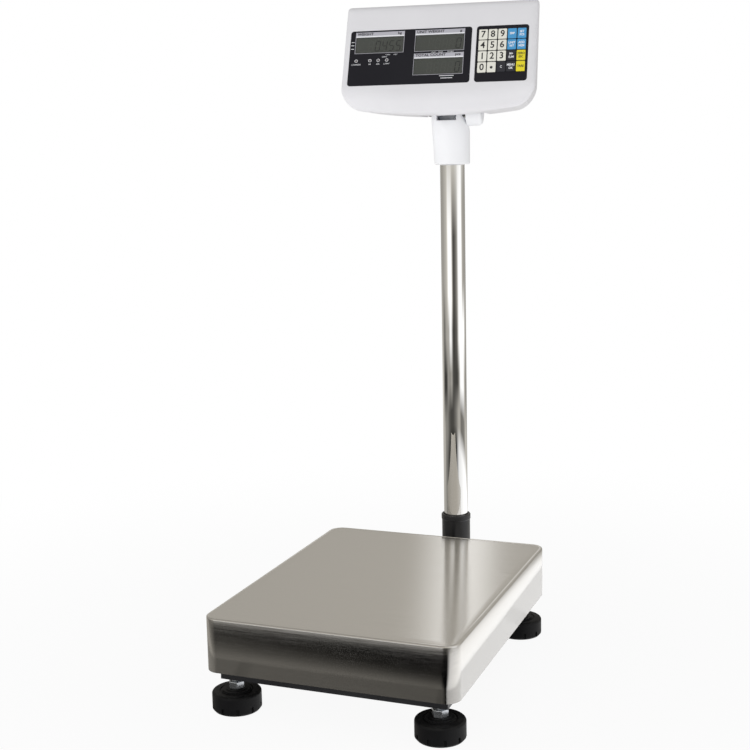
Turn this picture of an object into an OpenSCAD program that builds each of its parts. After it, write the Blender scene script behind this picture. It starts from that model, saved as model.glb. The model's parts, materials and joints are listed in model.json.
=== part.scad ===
/* [Platform] */
// Width of the platter, side to side
platform_width = 350; // [300:1:420]
// Depth of the platter, front to back
platform_depth = 450; // [400:1:540]
// Height of the platter's top above the bench
platform_height = 133; // [125:1:150]
// Height of the platter's skirt
skirt_height = 74; // [60:1:76]
// Thickness of the platter's sheet
sheet_thickness = 1.2; // [0.8:0.1:2]
// Radius of the platter's upright corners
platter_corner_radius = 20; // [12:1:30]
// Radius of the bend round the platter's top
platter_bend_radius = 2; // [1.5:0.1:4]
// Gap between the buffers and the platter's underside
platter_rest_gap = 0.3; // [0.3:0.1:1]
// Distance of the origin behind the platter's middle
origin_back = 65; // [60:0.5:70]

/* [Base frame] */
// How far the frame stands inside the platter's sides
frame_inset = 17; // [12:0.5:25]
// Height of the frame's underside above the bench
frame_clearance = 44.5; // [43:0.5:50]
// Height of the frame's rails
rail_height = 25.5; // [22:0.5:28]
// Width of the frame's rails
rail_width = 30; // [26:0.5:36]
// Wall of the folded rails
rail_wall = 2; // [1.5:0.1:3]
// Width of the cross beam that carries the load cell
beam_width = 60; // [56:1:70]
// Height of the cross beam
beam_height = 11.5; // [9:0.5:13]
// Top plate of the cross beam
beam_plate = 4; // [3:0.5:5]
// Diameter of the threaded bosses at the corners
boss_diameter = 24; // [20:1:26]
// Height of the threaded bosses
boss_height = 18; // [12:1:22]

/* [Load cell] */
// Length of the load cell
cell_length = 150; // [130:1:160]
// Width of the load cell
cell_width = 40; // [34:1:46]
// Height of the load cell
cell_height = 30; // [26:0.5:32]
// Diameter of the two bored ends of the cell's window
cell_bore = 20; // [14:0.5:22]
// Distance between the window's bored ends
cell_bore_pitch = 36; // [30:1:44]
// Height of the spacer blocks above and below the cell
spacer_height = 6; // [4:0.5:8]
// Length of the spacer blocks
spacer_length = 44; // [38:1:50]
// Distance from the cell's middle to the inner bolts
cell_bolt_inner = 40; // [36:1:44]
// Distance from the cell's middle to the outer bolts
cell_bolt_outer = 65; // [60:1:68]
// Shank of the frame bolts
bolt_diameter = 8; // [6:0.5:8]
// Radial gap round the bolts' shanks
bolt_clearance = 0.2; // [0.1:0.1:0.5]

/* [Load spider] */
// Height of the spider's arms
arm_height = 17; // [14:0.5:18]
// Width of the spider's cross arms
arm_width = 40; // [34:1:50]
// Width of the spider's long member
spine_width = 66; // [60:1:76]
// Sheet of the spider
arm_wall = 3; // [2:0.5:4]
// Mounting plate under the spider
spider_plate = 4; // [3:0.5:5]
// Distance of the buffers from the middle, side to side
buffer_x = 125; // [110:1:130]
// Distance of the buffers from the middle, front to back
buffer_y = 165; // [150:1:172]
// Diameter of the platter buffers
buffer_diameter = 30; // [24:1:36]

/* [Feet] */
// Diameter of the rubber foot pads
foot_diameter = 66; // [56:1:68]
// Height of the foot pads' top face
foot_height = 26; // [22:0.5:27]
// Height of the raised ring on the foot pads
foot_ring_height = 3; // [1:0.5:3]
// Diameter of the raised ring
foot_ring_diameter = 38; // [30:1:42]
// Notches round the lower rim
foot_notches = 10; // [8:1:14]
// Depth of the notches
foot_notch_depth = 2; // [1:0.5:3]
// Width of the notches
foot_notch_width = 4; // [3:0.5:6]
// Height of the notches
foot_notch_height = 10; // [6:0.5:13]
// Shank of the foot studs
stud_diameter = 12; // [10:0.5:12]
// Hexagon of the foot studs, across flats
stud_hex = 19; // [17:0.5:22]
// Height of the hexagon
stud_hex_height = 10; // [7:0.5:10]
// Length of the stud above the hexagon
stud_reach = 42; // [34:1:48]

/* [Column] */
// Diameter of the column
column_diameter = 38; // [32:0.5:42]
// Wall of the column
column_wall = 1.5; // [1:0.1:2.5]
// Height of the column's top above the bench
column_top = 772; // [768:1:773]
// Distance of the column to the right of the platter's middle
column_x = 12; // [0:1:20]
// Distance of the column behind the platter's back edge
column_behind = 64; // [56:1:80]
// Wall of the black socket round the column's foot
socket_wall = 3.6; // [3:0.1:5]
// Height of the socket's rim above the bench
socket_top = 154; // [120:1:180]
// Ledge in the socket that carries the column
socket_ledge = 56; // [54:1:60]
// Width of the bracket's arm
bracket_width = 48; // [44:1:56]
// Height of the bracket's arm
bracket_height = 10.5; // [9:0.5:12]
// Plate of the bracket
bracket_plate = 4; // [3:0.5:5]
// Diameter of the cell cable
cable_diameter = 4.5; // [4:0.1:5]
// Diameter of the level
level_diameter = 22; // [18:1:24]
// Height of the level
level_height = 9; // [7:0.5:10]

/* [Head sleeve] */
// Turn of the head about the column
head_yaw = 8.6; // [0:0.1:20]
// Lowest point of the sleeve above the bench
sleeve_bottom = 711; // [680:1:730]
// Outer diameter of the sleeve
sleeve_diameter = 55; // [50:0.5:60]
// Radius of the sleeve's lower edge
sleeve_edge_radius = 3; // [1:0.5:4]
// Running clearance round the column
sleeve_clearance = 0.1; // [0.05:0.01:0.1]
// Width of the fork to the left of the column's axis
fork_left = 29; // [28:0.5:32]
// Width of the fork to the right of the column's axis
fork_right = 17; // [16:0.5:20]
// Depth of the fork
fork_depth = 40; // [34:1:44]
// Left edge of the slot in the fork
slot_left = 20; // [16:0.5:21]
// Right edge of the slot in the fork
slot_right = 10; // [8:0.5:11]
// Height of the slot's floor above the bench
slot_floor = 778; // [776:0.5:780]
// Distance of the slot's rear wall behind the column's axis
slot_rear = 14; // [13:0.5:16]
// Height of the tilt axis above the bench
tilt_axis_height = 791; // [790:0.5:794]
// Diameter of the tilt bolt
tilt_bolt_diameter = 8; // [6:0.5:8]
// Running clearance of the tilt bolt
tilt_clearance = 0.1; // [0.05:0.01:0.1]
// Diameter of the tilt clamp knob
tilt_knob_diameter = 44; // [36:1:46]
// Length of the tilt clamp knob
tilt_knob_length = 24; // [18:1:28]
// Outer diameter of the clamp washer
washer_diameter = 34; // [28:1:36]
// Diameter of the lock screw's knob
lock_knob_diameter = 24; // [18:1:28]

/* [Head] */
// Width of the head
head_width = 295; // [270:1:340]
// Distance of the head's middle to the left of the column
head_offset = 12; // [0:1:20]
// Lean of the front panel from upright
panel_tilt = 25; // [20:0.5:30]
// Height of the panel's middle above the bench
panel_centre_height = 872.7; // [868:0.1:880]
// Distance of the panel's middle in front of the column's axis
panel_forward = 45; // [42:0.5:50]
// Height of the head's top above the bench
head_top = 952.5; // [945:0.5:960]
// Height of the head's underside above the bench
head_bottom = 784.5; // [783:0.5:787]
// Distance of the chin in front of the column's axis
chin_forward = 73; // [70:0.5:76]
// Distance of the rear wall behind the column's axis, at the bottom
rear_back = 52; // [48:1:60]
// Lean of the rear wall
rear_lean = 9; // [6:0.5:12]
// Draft of the head's side walls, drawing in behind the panel
side_draft = 5; // [0:0.5:6]
// Radius of the head's lower corners
head_corner_radius = 30; // [22:1:36]
// Radius of the bow along the head's underside
head_bow_radius = 780; // [650:10:950]
// Wall of the housings
housing_wall = 2.5; // [2:0.1:3]
// Distance of the housings' parting line behind the panel
parting_depth = 24; // [20:0.5:28]

/* [Front panel] */
// Thickness of the overlays
overlay_thickness = 0.6; // [0.4:0.1:0.8]
// Height of both overlays
overlay_height = 92.5; // [88:0.5:96]
// Radius of the overlays' corners
overlay_corner_radius = 4.5; // [3:0.5:7]
// Left edge of the main overlay
main_left = -137.6; // [-140:0.1:-134]
// Width of the main overlay
main_width = 186.5; // [180:0.5:190]
// Left edge of the keypad overlay
keypad_left = 56; // [54:0.1:58]
// Width of the keypad overlay
keypad_width = 78; // [74:0.5:80]
// Width of a display window
window_width = 74.5; // [68:0.5:76]
// Height of a display window
window_height = 27; // [24:0.5:28]
// Height of the windows' bezel line above the glass
window_header = 8.6; // [7:0.1:9]
// Diameter of the status lights
light_diameter = 3; // [2:0.1:4]
// Pitch of the keys, side to side
key_pitch_x = 14.4; // [13.6:0.1:14.6]
// Pitch of the keys, up and down
key_pitch_y = 18.2; // [17:0.1:18.6]
// Width of a key
key_width = 12.9; // [11.5:0.1:13.1]
// Height of a key
key_height = 16.6; // [15:0.1:17]
// Gap between a key and its opening
key_gap = 0.3; // [0.3:0.1:0.4]
// Height of a key above the overlay
key_raise = 0.5; // [0.4:0.1:0.7]
// Travel of a key
key_travel = 0.5; // [0.3:0.1:0.6]

/* [Inside the head] */
// Length of the battery, side to side
battery_length = 70; // [66:1:74]
// Thickness of the battery
battery_thickness = 47; // [42:1:48]
// Height of the battery
battery_height = 92; // [84:1:96]
// Width of the battery door
door_width = 86; // [80:1:92]
// Height of the battery door
door_height = 96; // [88:1:102]
// Gap round the battery door
door_gap = 0.5; // [0.4:0.1:0.8]
// Thickness of the boards
board_thickness = 1.6; // [1:0.1:2]
// Depth of a display module
module_depth = 7; // [5:0.5:8]
// Width of the power switch's rocker
rocker_width = 12; // [10:0.5:14]
// Height of the power switch's rocker
rocker_height = 18; // [16:0.5:20]

/* [Show] */
// The piece to draw, or all

/* [Hidden] */
$fn = 96;
e = 0.01;

frame_w = platform_width - 2 * frame_inset;
frame_d = platform_depth - 2 * frame_inset;
frame_top = frame_clearance + rail_height;
foot_x = frame_w / 2 - rail_width / 2;
foot_y = frame_d / 2 - rail_width / 2;
beam_top = frame_clearance + beam_height;
beam_y = -(cell_bolt_inner + cell_bolt_outer) / 2;
cell_z = beam_top + spacer_height;
spider_z = cell_z + cell_height + spacer_height;
arm_z = spider_z + spider_plate;
arm_top = arm_z + arm_height;
platter_under = platform_height - sheet_thickness;
column_y = platform_depth / 2 + column_behind;
bore_r = column_diameter / 2 - column_wall;
socket_r = column_diameter / 2 + socket_wall;
arm_top_z = frame_clearance + bracket_height;
cable_x = column_x + 12;
cable_z = frame_clearance + 4.6;
cable_start_y = 10;
cable_start_z = cell_z + 8;
hex_z = foot_height + foot_ring_height;

// sheet helpers
module rrect(w, d, r) {
  square([w - 2 * r, d], center = true);
  square([w, d - 2 * r], center = true);
  for (x = [-1, 1]) {
    for (y = [-1, 1]) {
      translate([x * (w / 2 - r), y * (d / 2 - r)]) circle(r);
    }
  }
}
module rbox(w, d, h, r) {
  linear_extrude(h) rrect(w, d, r);
}
module box(x, y, z, w, d, h) {
  translate([x - w / 2, y - d / 2, z]) cube([w, d, h]);
}
module hexagon(flats, h) {
  rotate([0, 0, 30]) cylinder(h = h, r = flats / 2 / cos(30), $fn = 6);
}

// PLATTER
module rim(h, rc, rb) {
  difference() {
    union() {
      square([rc, h - rb]);
      square([rc - rb, h]);
      translate([rc - rb, h - rb]) circle(rb, $fn = 24);
    }
    translate([-1, -1]) square([rc - sheet_thickness + 1, h - sheet_thickness + 1]);
  }
}
module platter() {
  w = platform_width / 2 - platter_corner_radius;
  d = platform_depth / 2 - platter_corner_radius;
  h = skirt_height;
  color("silver") translate([0, 0, platform_height - h]) {
    translate([-w, -d, h - sheet_thickness]) cube([2 * w, 2 * d, sheet_thickness]);
    for (k = [0:3]) {
      sx = k == 0 || k == 3 ? 1 : -1;
      sy = k < 2 ? 1 : -1;
      translate([sx * w, sy * d, 0]) rotate([0, 0, 90 * k])
        rotate_extrude(angle = 90, $fn = 64) rim(h, platter_corner_radius, platter_bend_radius);
      translate([sx * w, sy * d, 0]) rotate([0, 0, 90 * k]) rotate([90, 0, 0])
        linear_extrude(2 * (k % 2 == 0 ? d : w))
          rim(h, platter_corner_radius, platter_bend_radius);
    }
  }
}

// BASE
module base_frame() {
  color("dimgray") difference() {
    union() {
      difference() {
        box(0, 0, frame_clearance, frame_w, frame_d, rail_height);
        box(0, 0, frame_clearance - 1, frame_w - 2 * rail_width, frame_d - 2 * rail_width,
            rail_height + 2);
        difference() {
          box(0, 0, frame_clearance + rail_wall, frame_w - 2 * rail_wall,
              frame_d - 2 * rail_wall, rail_height);
          box(0, 0, frame_clearance, frame_w - 2 * rail_width + 2 * rail_wall,
              frame_d - 2 * rail_width + 2 * rail_wall, rail_height + 2);
        }
      }
      box(0, beam_y, frame_clearance, frame_w - 2 * rail_width + rail_wall, beam_width,
          beam_height);
      for (x = [-1, 1]) {
        for (y = [-1, 1]) {
          translate([x * foot_x, y * foot_y, frame_clearance])
            cylinder(h = boss_height, r = boss_diameter / 2);
        }
      }
    }
    box(0, beam_y, frame_clearance - 1, frame_w - 2 * rail_width - rail_wall,
        beam_width - 2 * rail_wall, beam_height - beam_plate + 1);
    for (x = [-1, 1]) {
      for (y = [-1, 1]) {
        translate([x * foot_x, y * foot_y, frame_clearance - 1])
          cylinder(h = boss_height + 2, r = stud_diameter / 2 + 0.1);
      }
    }
    for (y = [cell_bolt_inner, cell_bolt_outer]) {
      translate([0, -y, frame_clearance])
        cylinder(h = beam_height + 1, r = bolt_diameter / 2 + bolt_clearance);
    }
    for (x = bracket_bolt_x) {
      translate([x, frame_d / 2 - rail_wall - 1, bracket_bolt_z])
        rotate([-90, 0, 0]) cylinder(h = rail_wall + 2, r = bolt_diameter / 2 + bolt_clearance);
    }
    translate([cable_x, frame_d / 2 - rail_width - 1, cable_z])
      rotate([-90, 0, 0]) cylinder(h = rail_width + 2, r = cable_diameter / 2 + 0.1);
  }
}
bracket_bolt_x = [column_x - 46, column_x - 32, column_x + 32, column_x + 46];
bracket_bolt_z = frame_clearance + rail_height / 2 + 2;

module load_cell() {
  color("gainsboro") difference() {
    box(0, 0, cell_z, cell_width, cell_length, cell_height);
    for (y = [-1, 1]) {
      translate([-cell_width / 2 - 1, y * cell_bore_pitch / 2, cell_z + cell_height / 2])
        rotate([0, 90, 0]) cylinder(h = cell_width + 2, r = cell_bore / 2);
    }
    box(0, 0, cell_z + cell_height / 2 - 4, cell_width + 2, cell_bore_pitch, 8);
    for (y = [cell_bolt_inner, cell_bolt_outer]) {
      translate([0, -y, cell_z - 1]) cylinder(h = 19, r = bolt_diameter / 2 + bolt_clearance);
      translate([0, y, cell_z + cell_height - 18])
        cylinder(h = 19, r = bolt_diameter / 2 + bolt_clearance);
    }
    translate([cell_width / 2 - 5, cable_start_y, cable_start_z])
      rotate([0, 90, 0]) cylinder(h = 6, r = cable_diameter / 2 + 0.02);
  }
}
module cell_spacers() {
  mid = (cell_bolt_inner + cell_bolt_outer) / 2;
  color("gray") for (s = [[-1, beam_top], [1, cell_z + cell_height]]) {
    difference() {
      box(0, s[0] * mid, s[1], cell_width, spacer_length, spacer_height);
      for (y = [cell_bolt_inner, cell_bolt_outer]) {
        translate([0, s[0] * y, s[1] - 1])
          cylinder(h = spacer_height + 2, r = bolt_diameter / 2 + bolt_clearance);
      }
    }
  }
}
module hex_bolt(len) {
  translate([0, 0, -5.3]) hexagon(13, 5.3);
  translate([0, 0, -e]) cylinder(h = len + e, r = bolt_diameter / 2, $fn = 48);
}
module frame_bolts() {
  color("silver") {
    for (y = [cell_bolt_inner, cell_bolt_outer]) {
      translate([0, -y, beam_top - beam_plate]) hex_bolt(26);
      translate([0, y, spider_z + spider_plate + e]) rotate([180, 0, 0]) hex_bolt(26);
    }
    for (x = bracket_bolt_x) {
      translate([x, frame_d / 2 + bracket_plate, bracket_bolt_z])
        rotate([90, 0, 0]) hex_bolt(bracket_plate + rail_wall + 6);
    }
  }
}
module channel_x(y, len, wid) {
  difference() {
    box(0, y, arm_z, len, wid, arm_height);
    box(0, y, arm_z - 1, len - 2 * arm_wall, wid - 2 * arm_wall, arm_height - arm_wall + 1);
  }
}
module load_spider() {
  long = 2 * buffer_y + arm_width;
  wide = 2 * buffer_x + buffer_diameter;
  color("darkslategray") difference() {
    union() {
      for (y = [-1, 1]) {
        channel_x(y * buffer_y, wide, arm_width);
      }
      difference() {
        box(0, 0, arm_z, spine_width, long, arm_height);
        box(0, 0, arm_z - 1, spine_width - 2 * arm_wall, long - 2 * arm_wall,
            arm_height - arm_wall + 1);
      }
      box(0, (cell_bolt_inner + cell_bolt_outer) / 2, spider_z, spine_width, spacer_length + 16,
          spider_plate + e);
    }
    for (y = [cell_bolt_inner, cell_bolt_outer]) {
      translate([0, y, spider_z - 1]) {
        cylinder(h = spider_plate + 2, r = bolt_diameter / 2 + bolt_clearance);
        translate([0, 0, spider_plate + 8]) cylinder(h = arm_height, r = 9.5);
      }
    }
    for (x = [-1, 1]) {
      for (y = [-1, 1]) {
        translate([x * buffer_x, y * buffer_y, arm_top - arm_wall - 1])
          cylinder(h = arm_wall + 2, r = 4.02, $fn = 48);
      }
    }
  }
}
module platter_buffers() {
  color("black") for (x = [-1, 1]) {
    for (y = [-1, 1]) {
      translate([x * buffer_x, y * buffer_y, arm_top]) {
        rotate_extrude() polygon([[0, -arm_wall], [4, -arm_wall], [4, 0], [buffer_diameter / 2, 0],
          [buffer_diameter / 2, buffer_h - 2], [buffer_diameter / 2 - 2, buffer_h],
          [0, buffer_h]]);
      }
    }
  }
}
buffer_h = platter_under - platter_rest_gap - arm_top;

// FEET
module foot_pad() {
  r = foot_diameter / 2;
  ring = foot_ring_diameter / 2;
  color("black") difference() {
    rotate_extrude() difference() {
      union() {
        polygon([[0, 0], [r - 2.5, 0], [r, 3], [r, foot_height - 3.5], [r - 3.5, foot_height],
          [0, foot_height]]);
        translate([r - 3.5, foot_height - 3.5]) circle(3.5, $fn = 48);
        square([ring, foot_height + foot_ring_height - 1]);
        square([ring - 5, foot_height + foot_ring_height]);
      }
      translate([-1, 8]) square([stud_diameter / 2 + 1.02, 40]);
      translate([ring + 1.5, foot_height - 1]) square([2, 4]);
      translate([-1, -1]) square([r - 9, 3]);
    }
    for (k = [0:foot_notches - 1]) {
      rotate([0, 0, 10 + k * 360 / foot_notches])
        translate([r - foot_notch_depth, -foot_notch_width / 2, -1])
          cube([foot_notch_depth + 2, foot_notch_width, foot_notch_height + 1]);
    }
  }
}
module foot_stud() {
  color("silver") {
    translate([0, 0, 8]) cylinder(h = hex_z + stud_hex_height + stud_reach - 8 - 1.5,
      r = stud_diameter / 2, $fn = 64);
    translate([0, 0, hex_z + stud_hex_height + stud_reach - 1.5 - e])
      cylinder(h = 1.5 + e, r1 = stud_diameter / 2, r2 = stud_diameter / 2 - 1.5, $fn = 64);
    intersection() {
      translate([0, 0, hex_z]) hexagon(stud_hex, stud_hex_height);
      translate([0, 0, hex_z + stud_hex_height / 2]) {
        translate([0, 0, -15]) cylinder(h = 15, r1 = 5.4, r2 = 15 + 10.4 - stud_hex_height / 2);
        cylinder(h = 15, r1 = 15 + 10.4 - stud_hex_height / 2, r2 = 5.4);
      }
    }
  }
}
module foot_pad_fl() { translate([-foot_x, -foot_y, 0]) foot_pad(); }
module foot_pad_fr() { translate([foot_x, -foot_y, 0]) foot_pad(); }
module foot_pad_rl() { translate([-foot_x, foot_y, 0]) foot_pad(); }
module foot_pad_rr() { translate([foot_x, foot_y, 0]) foot_pad(); }
module foot_stud_fl() { translate([-foot_x, -foot_y, 0]) foot_stud(); }
module foot_stud_fr() { translate([foot_x, -foot_y, 0]) foot_stud(); }
module foot_stud_rl() { translate([-foot_x, foot_y, 0]) foot_stud(); }
module foot_stud_rr() { translate([foot_x, foot_y, 0]) foot_stud(); }

// COLUMN
module column_bracket() {
  plate_w = 2 * 46 + 22;
  arm_y0 = frame_d / 2;
  arm_len = column_y - arm_y0;
  color("dimgray") difference() {
    union() {
      box(column_x, arm_y0 + bracket_plate / 2, frame_clearance, plate_w, bracket_plate,
          rail_height);
      box(column_x, arm_y0 + arm_len / 2, frame_clearance, bracket_width, arm_len,
          bracket_height);
      translate([column_x, column_y, frame_clearance])
        cylinder(h = bracket_height, r = socket_r + 4);
    }
    box(column_x, arm_y0 + bracket_plate + arm_len / 2, frame_clearance - 1,
        bracket_width - 2 * 2.5, arm_len, bracket_height - 2.5 + 1);
    translate([column_x, column_y, frame_clearance - 1])
      cylinder(h = bracket_height + 2, r = socket_r + 0.02);
    for (x = bracket_bolt_x) {
      translate([x, arm_y0 - 1, bracket_bolt_z])
        rotate([-90, 0, 0]) cylinder(h = bracket_plate + 2, r = bolt_diameter / 2 + bolt_clearance);
    }
    translate([cable_x, arm_y0 - 1, cable_z])
      rotate([-90, 0, 0]) cylinder(h = bracket_plate + 2, r = cable_diameter / 2 + 0.1);
  }
}
module column_socket() {
  color("black") difference() {
    translate([column_x, column_y, 0]) rotate_extrude() polygon([
      [0, frame_clearance - 2], [socket_r, frame_clearance - 2], [socket_r, socket_top - 9],
      [socket_r + 0.8, socket_top - 8], [socket_r + 0.8, socket_top - 1.5],
      [socket_r - 0.4, socket_top], [column_diameter / 2 + 1.4, socket_top],
      [column_diameter / 2 + 0.02, socket_top - 2.5], [column_diameter / 2 + 0.02, socket_ledge],
      [bore_r, socket_ledge], [bore_r, frame_clearance], [0, frame_clearance]]);
    translate([cable_x, column_y - socket_r - 2, cable_z])
      rotate([-90, 0, 0]) cylinder(h = socket_r, r = cable_diameter / 2 + 0.1);
  }
}
module column() {
  color("white") translate([column_x, column_y, socket_ledge]) difference() {
    cylinder(h = column_top - socket_ledge, r = column_diameter / 2);
    translate([0, 0, -1]) cylinder(h = column_top - socket_ledge + 2, r = bore_r);
  }
}
module level_cup() {
  color("black") translate([column_x - 12, frame_d / 2 + 32, arm_top_z]) difference() {
    cylinder(h = level_height, r = level_diameter / 2);
    translate([0, 0, 2]) cylinder(h = level_height, r = level_diameter / 2 - 2);
  }
}
module level_vial() {
  color("yellowgreen") translate([column_x - 12, frame_d / 2 + 32, arm_top_z + 2])
    cylinder(h = level_height - 3, r = level_diameter / 2 - 2.02);
}
module cell_cable() {
  r = cable_diameter / 2;
  color("gray") {
    translate([cell_width / 2 - 4, cable_start_y, cable_start_z])
      rotate([0, 90, 0]) cylinder(h = cable_x - cell_width / 2 + 4, r = r, $fn = 32);
    translate([cable_x, cable_start_y, cable_start_z]) sphere(r, $fn = 32);
    translate([cable_x, cable_start_y, cable_z])
      cylinder(h = cable_start_z - cable_z, r = r, $fn = 32);
    translate([cable_x, cable_start_y, cable_z]) sphere(r, $fn = 32);
    translate([cable_x, cable_start_y, cable_z])
      rotate([-90, 0, 0]) cylinder(h = column_y - cable_start_y, r = r, $fn = 32);
    translate([cable_x, column_y, cable_z]) sphere(r, $fn = 32);
    translate([cable_x, column_y, cable_z]) cylinder(h = column_top - 6 - cable_z, r = r, $fn = 32);
  }
}

// HEAD SLEEVE, all turned with the head about the column
module at_column() {
  translate([column_x, column_y, 0]) rotate([0, 0, head_yaw]) children();
}
module tilt_cylinder(x0, x1, r) {
  translate([x0, 0, tilt_axis_height]) rotate([0, 90, 0]) cylinder(h = x1 - x0, r = r);
}
fork_base = tilt_axis_height - tilt_knob_diameter / 2 - 1;
lock_z = sleeve_bottom + 26;
module head_sleeve() {
  r = sleeve_diameter / 2;
  er = sleeve_edge_radius;
  bore = column_diameter / 2 + sleeve_clearance;
  color("whitesmoke") at_column() difference() {
    union() {
      translate([0, 0, sleeve_bottom]) rotate_extrude() {
        translate([0, er]) square([r, fork_base - sleeve_bottom - er]);
        square([r - er, er + 1]);
        translate([r - er, er]) circle(er, $fn = 48);
      }
      translate([-fork_left, -fork_depth / 2, fork_base - e])
        cube([fork_left + fork_right, fork_depth, tilt_axis_height - fork_base + e]);
      tilt_cylinder(-fork_left, fork_right, 16);
      translate([0, r - 3, lock_z]) rotate([-90, 0, 0]) cylinder(h = 11, r = 8);
    }
    translate([0, 0, sleeve_bottom - 1])
      cylinder(h = column_top - sleeve_bottom + 1.6, r = bore);
    translate([0, 0, column_top]) cylinder(h = 10, r = 8);
    translate([-slot_left, -fork_depth, slot_floor])
      cube([slot_left + slot_right, fork_depth + slot_rear, 40]);
    translate([-slot_left, 0, tilt_axis_height - 3])
      cube([slot_left + slot_right, fork_depth, 40]);
    tilt_cylinder(-fork_left - 1, fork_right + 1, tilt_bolt_diameter / 2 + tilt_clearance);
    translate([0, 0, lock_z]) rotate([-90, 0, 0]) cylinder(h = r + 20, r = 3.1, $fn = 48);
  }
}
module sleeve_lock_screw() {
  r = sleeve_diameter / 2;
  y0 = column_diameter / 2 + 0.4;
  color("black") at_column() translate([0, 0, lock_z]) rotate([-90, 0, 0]) {
    translate([0, 0, y0]) cylinder(h = r + 12 - y0, r = 3, $fn = 48);
    difference() {
      translate([0, 0, r + 8.5]) cylinder(h = 14, r = lock_knob_diameter / 2);
      for (k = [0:7]) {
        rotate([0, 0, k * 45]) translate([lock_knob_diameter / 2 + 1.2, 0, r + 8])
          cylinder(h = 15, r = 2.6, $fn = 32);
      }
    }
  }
}

// TILT JOINT
pocket_roof = tilt_axis_height + 24;
module tilt_bracket() {
  color("silver") at_column() difference() {
    union() {
      translate([-slot_left - 10, -25, pocket_roof - 3]) cube([slot_left + slot_right + 20, 50, 3]);
      for (x = [-slot_left + 1, slot_right - 4]) {
        translate([x, -12, tilt_axis_height]) cube([3, 24, pocket_roof - tilt_axis_height - 1]);
        tilt_cylinder(x, x + 3, 12);
      }
    }
    tilt_cylinder(-40, 40, tilt_bolt_diameter / 2 + 0.02);
  }
}
module tilt_bolt() {
  color("silver") at_column() {
    tilt_cylinder(-fork_left - 0.5, fork_right + 7 + tilt_knob_length - 6, tilt_bolt_diameter / 2);
    translate([-fork_left - 0.4, 0, tilt_axis_height]) rotate([0, -90, 0]) hexagon(13, 5.3);
  }
}
module tilt_washer() {
  color("silver") at_column() difference() {
    tilt_cylinder(fork_right + 0.4, fork_right + 6.6, washer_diameter / 2);
    tilt_cylinder(fork_right, fork_right + 8, tilt_bolt_diameter / 2 + 0.02);
  }
}
module tilt_knob() {
  r = tilt_knob_diameter / 2;
  l = tilt_knob_length;
  color("whitesmoke") at_column() translate([fork_right + 7, 0, tilt_axis_height])
    rotate([0, 90, 0]) rotate_extrude() difference() {
      union() {
        square([r - 4, l]);
        square([r, l - 4]);
        translate([r - 4, l - 4]) circle(4, $fn = 64);
      }
      translate([-1, -1]) square([tilt_bolt_diameter / 2 + tilt_clearance + 1, l - 4]);
      translate([-10, l + 26]) circle(28);
    }
}

// HEAD SHELL, side profile as lines [direction of the outward normal, distance]
module at_head() {
  at_column() translate([-head_offset, 0, 0]) children();
}
module on_panel() {
  at_head() translate([0, -panel_forward, panel_centre_height])
    rotate([90 - panel_tilt, 0, 0]) children();
}
function along(a, f, z) = cos(a) * f + sin(a) * z;
top_f = panel_forward - (head_top - panel_centre_height) * tan(panel_tilt);
rear_f = -rear_back + (head_top - head_bottom) * tan(rear_lean);
profile = [
  [panel_tilt, along(panel_tilt, panel_forward, panel_centre_height)],
  [57, along(57, top_f, head_top) - 1.2],
  [90, head_top],
  [130, along(130, rear_f, head_top) - 5],
  [180 - rear_lean, along(180 - rear_lean, -rear_back, head_bottom)],
  [225, along(225, -rear_back, head_bottom) - 6],
  [270, -head_bottom],
  [315, along(315, chin_forward, head_bottom) - 4],
  [360, chin_forward]];
function meet(p, q, i) = let (s = sin(q[0] - p[0])) [
  ((p[1] - i) * sin(q[0]) - (q[1] - i) * sin(p[0])) / s,
  ((q[1] - i) * cos(p[0]) - (p[1] - i) * cos(q[0])) / s];
function side_points(i) = [for (k = [0:8]) meet(profile[k], profile[(k + 1) % 9], i)];
corner_z = head_bottom + pow(head_width / 2 - head_corner_radius, 2) / 2 / head_bow_radius
  + head_corner_radius;
module front_outline(i) {
  w = head_width / 2;
  r = head_corner_radius;
  intersection() {
    translate([0, head_bottom + head_bow_radius]) circle(head_bow_radius - i, $fn = 720);
    union() {
      translate([-w + i, corner_z]) square([2 * (w - i), head_top + 5 - corner_z]);
      translate([-w + r, head_bottom - 5]) square([2 * (w - r), corner_z + 5 - head_bottom + 1]);
      for (x = [-1, 1]) {
        translate([x * (w - r), corner_z]) circle(r - i);
      }
    }
  }
}
module side_walls(i) {
  w = head_width / 2 - i;
  t = tan(side_draft);
  translate([0, -panel_forward, panel_centre_height]) rotate([180 - panel_tilt, 0, 0])
    linear_extrude(600, center = true)
      polygon([[-w - 10 * t, 10], [w + 10 * t, 10], [w - 200 * t, -200], [-w + 200 * t, -200]]);
}
module head_solid(i) {
  intersection() {
    side_walls(i);
    rotate([90, 0, 0]) linear_extrude(300, center = true) front_outline(i);
    rotate([90, 0, -90]) linear_extrude(head_width + 20, center = true) polygon(side_points(i));
  }
}
module shell() {
  difference() {
    head_solid(0);
    head_solid(housing_wall);
  }
}
module panel_half(side) {
  translate([0, -panel_forward, panel_centre_height]) rotate([90 - panel_tilt, 0, 0])
    translate([-200, -200, side > 0 ? -parting_depth : -parting_depth - 300])
      cube([400, 400, 300]);
}
screw_at = [[-128, -48], [128, -48], [-132, 70], [132, 70]];
window_at = [[-92, 21.9], [0.3, 21.9], [0.3, -17.4]];
light_at = [-126.4, -105.1, -92.2, -79];
light_v = -4.3;
main_u = main_left + main_width / 2;
pad_u = keypad_left + keypad_width / 2;
grid_v = 4.6;
recess = overlay_thickness - 0.2;

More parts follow.
